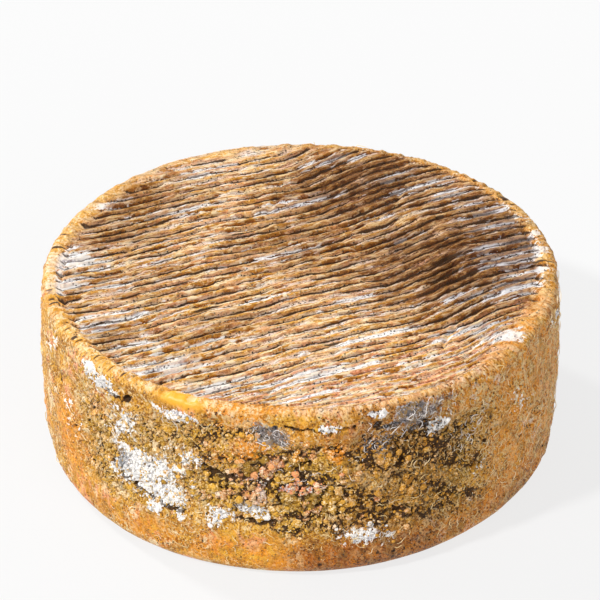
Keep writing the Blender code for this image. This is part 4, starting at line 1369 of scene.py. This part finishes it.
def set_studio():
    """A white floor that runs out of sight, a pale surround, two keys from the left and a soft fill."""
    world = bpy.data.worlds.new("studio")
    bpy.context.scene.world = world
    world.use_nodes = True
    surround = world.node_tree.nodes["Background"]
    surround.inputs["Color"].default_value = (1.0, 1.0, 1.0, 1)
    surround.inputs["Strength"].default_value = SURROUND
    mesh = bpy.data.meshes.new("floor")
    corners = [(x * FLOOR_REACH, y * FLOOR_REACH, 0) for x, y in ((-1, -1), (1, -1), (1, 1), (-1, 1))]
    mesh.from_pydata(corners, [], [(0, 1, 2, 3)])
    paper = Finish("white_floor")
    paper.surface_has(Base_Color=(FLOOR_GREY,) * 3, Roughness=0.9)
    paper.surface_has(Emission_Color=(1, 1, 1), Emission_Strength=FLOOR_GLOW)
    mesh.materials.append(paper.material)
    floor = placed("floor", mesh)
    floor.location = (0, 0, -FLOOR_DROP)
    for sun in SUNS:
        set_sun(*sun)
    bpy.context.scene.view_settings.view_transform = "Standard"
    bpy.context.scene.view_settings.look = "None"


# ---------------------------------------------------------------- the dressed wheel


def shapes(wall, ways, face, parting):
    """Every piece's name with its kind of finish, its corners, quads, triangles, cuts and values."""
    made = {}
    closed = [("rind_wall_" + side, wheel_sector(wall, number)) for number, side in
              enumerate(("front", "right", "left"))]
    closed += [("printed_face_" + side, face_slab(face, lines)) for side, lines in
               (("front", slice(0, parting + 1)), ("back", slice(parting, None)))]
    for name, (corners, quads, triangles, cut, part, extra) in closed:
        made[name] = ("rind", corners, quads, triangles, cut, rind_values(corners, part, extra))

    first = len(UNDERSIDE_RINGS)
    skin = wall.part(slice(first, first + FOOT_ROWS + WALL_ROWS), slice(0, COLUMNS))
    outwards = ways[:FOOT_ROWS + WALL_ROWS, :COLUMNS]
    high = skin.points[..., 2]
    clear = smooth(0.006, 0.014, high) * smooth(0.002, 0.008, HEIGHT - high)
    crumbly, rocky, caked, flank, curly, grey = (
        skin.marks[name] for name in ("crumbly", "rocky", "white_mould", "flank", "curly", "grey_mould"))
    made["rind_crumbs"] = ("crumb", *crumb_pile(
        skin, outwards, clear * crumbly * (1 - 0.7 * caked) + 10 * LEAST_WEIGHT, *CRUMBS))
    made["rind_stones"] = ("crumb", *crumb_pile(
        skin, outwards, clear * (rocky + 0.10 * crumbly) * (1 - 0.8 * caked) + LEAST_WEIGHT, *STONES))
    made["mould_crumbs"] = ("crumb", *crumb_pile(
        skin, outwards, clear * caked**2 + LEAST_WEIGHT, *MOULD_CRUMBS))
    thready = 0.10 * curly + 0.3 * grey + 0.1 * caked + 0.02
    made["mould_threads"] = ("thread", *threads(
        skin, outwards, clear * (1 - 0.68 * flank) * thready, *MOULD_THREADS))
    return made


def fitted(made):
    """The shapes with their corners scaled together, so that their common box is the solid's box."""
    low = np.min([corners.min(0) for _, corners, *_ in made.values()], 0)
    high = np.max([corners.max(0) for _, corners, *_ in made.values()], 0)
    grow = (SOLID_HIGH - SOLID_LOW) / (high - low)
    return {name: (kind, (corners - low) * grow + SOLID_LOW, *rest)
            for name, (kind, corners, *rest) in made.items()}


def main():
    """The camera, the studio and the wheel's pieces on their body, scaled to the solid's box."""
    set_camera()
    set_studio()
    wall, ways = wall_sheet()
    finishes = {"rind": rind_finish(), "crumb": crumb_finish(), "thread": thread_finish()}
    for name, (kind, *shape) in fitted(shapes(wall, ways, *face_sheet())).items():
        made = piece(name, *shape, finishes[kind])
        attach(made, "root")
        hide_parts("cheese_wheel")


main()
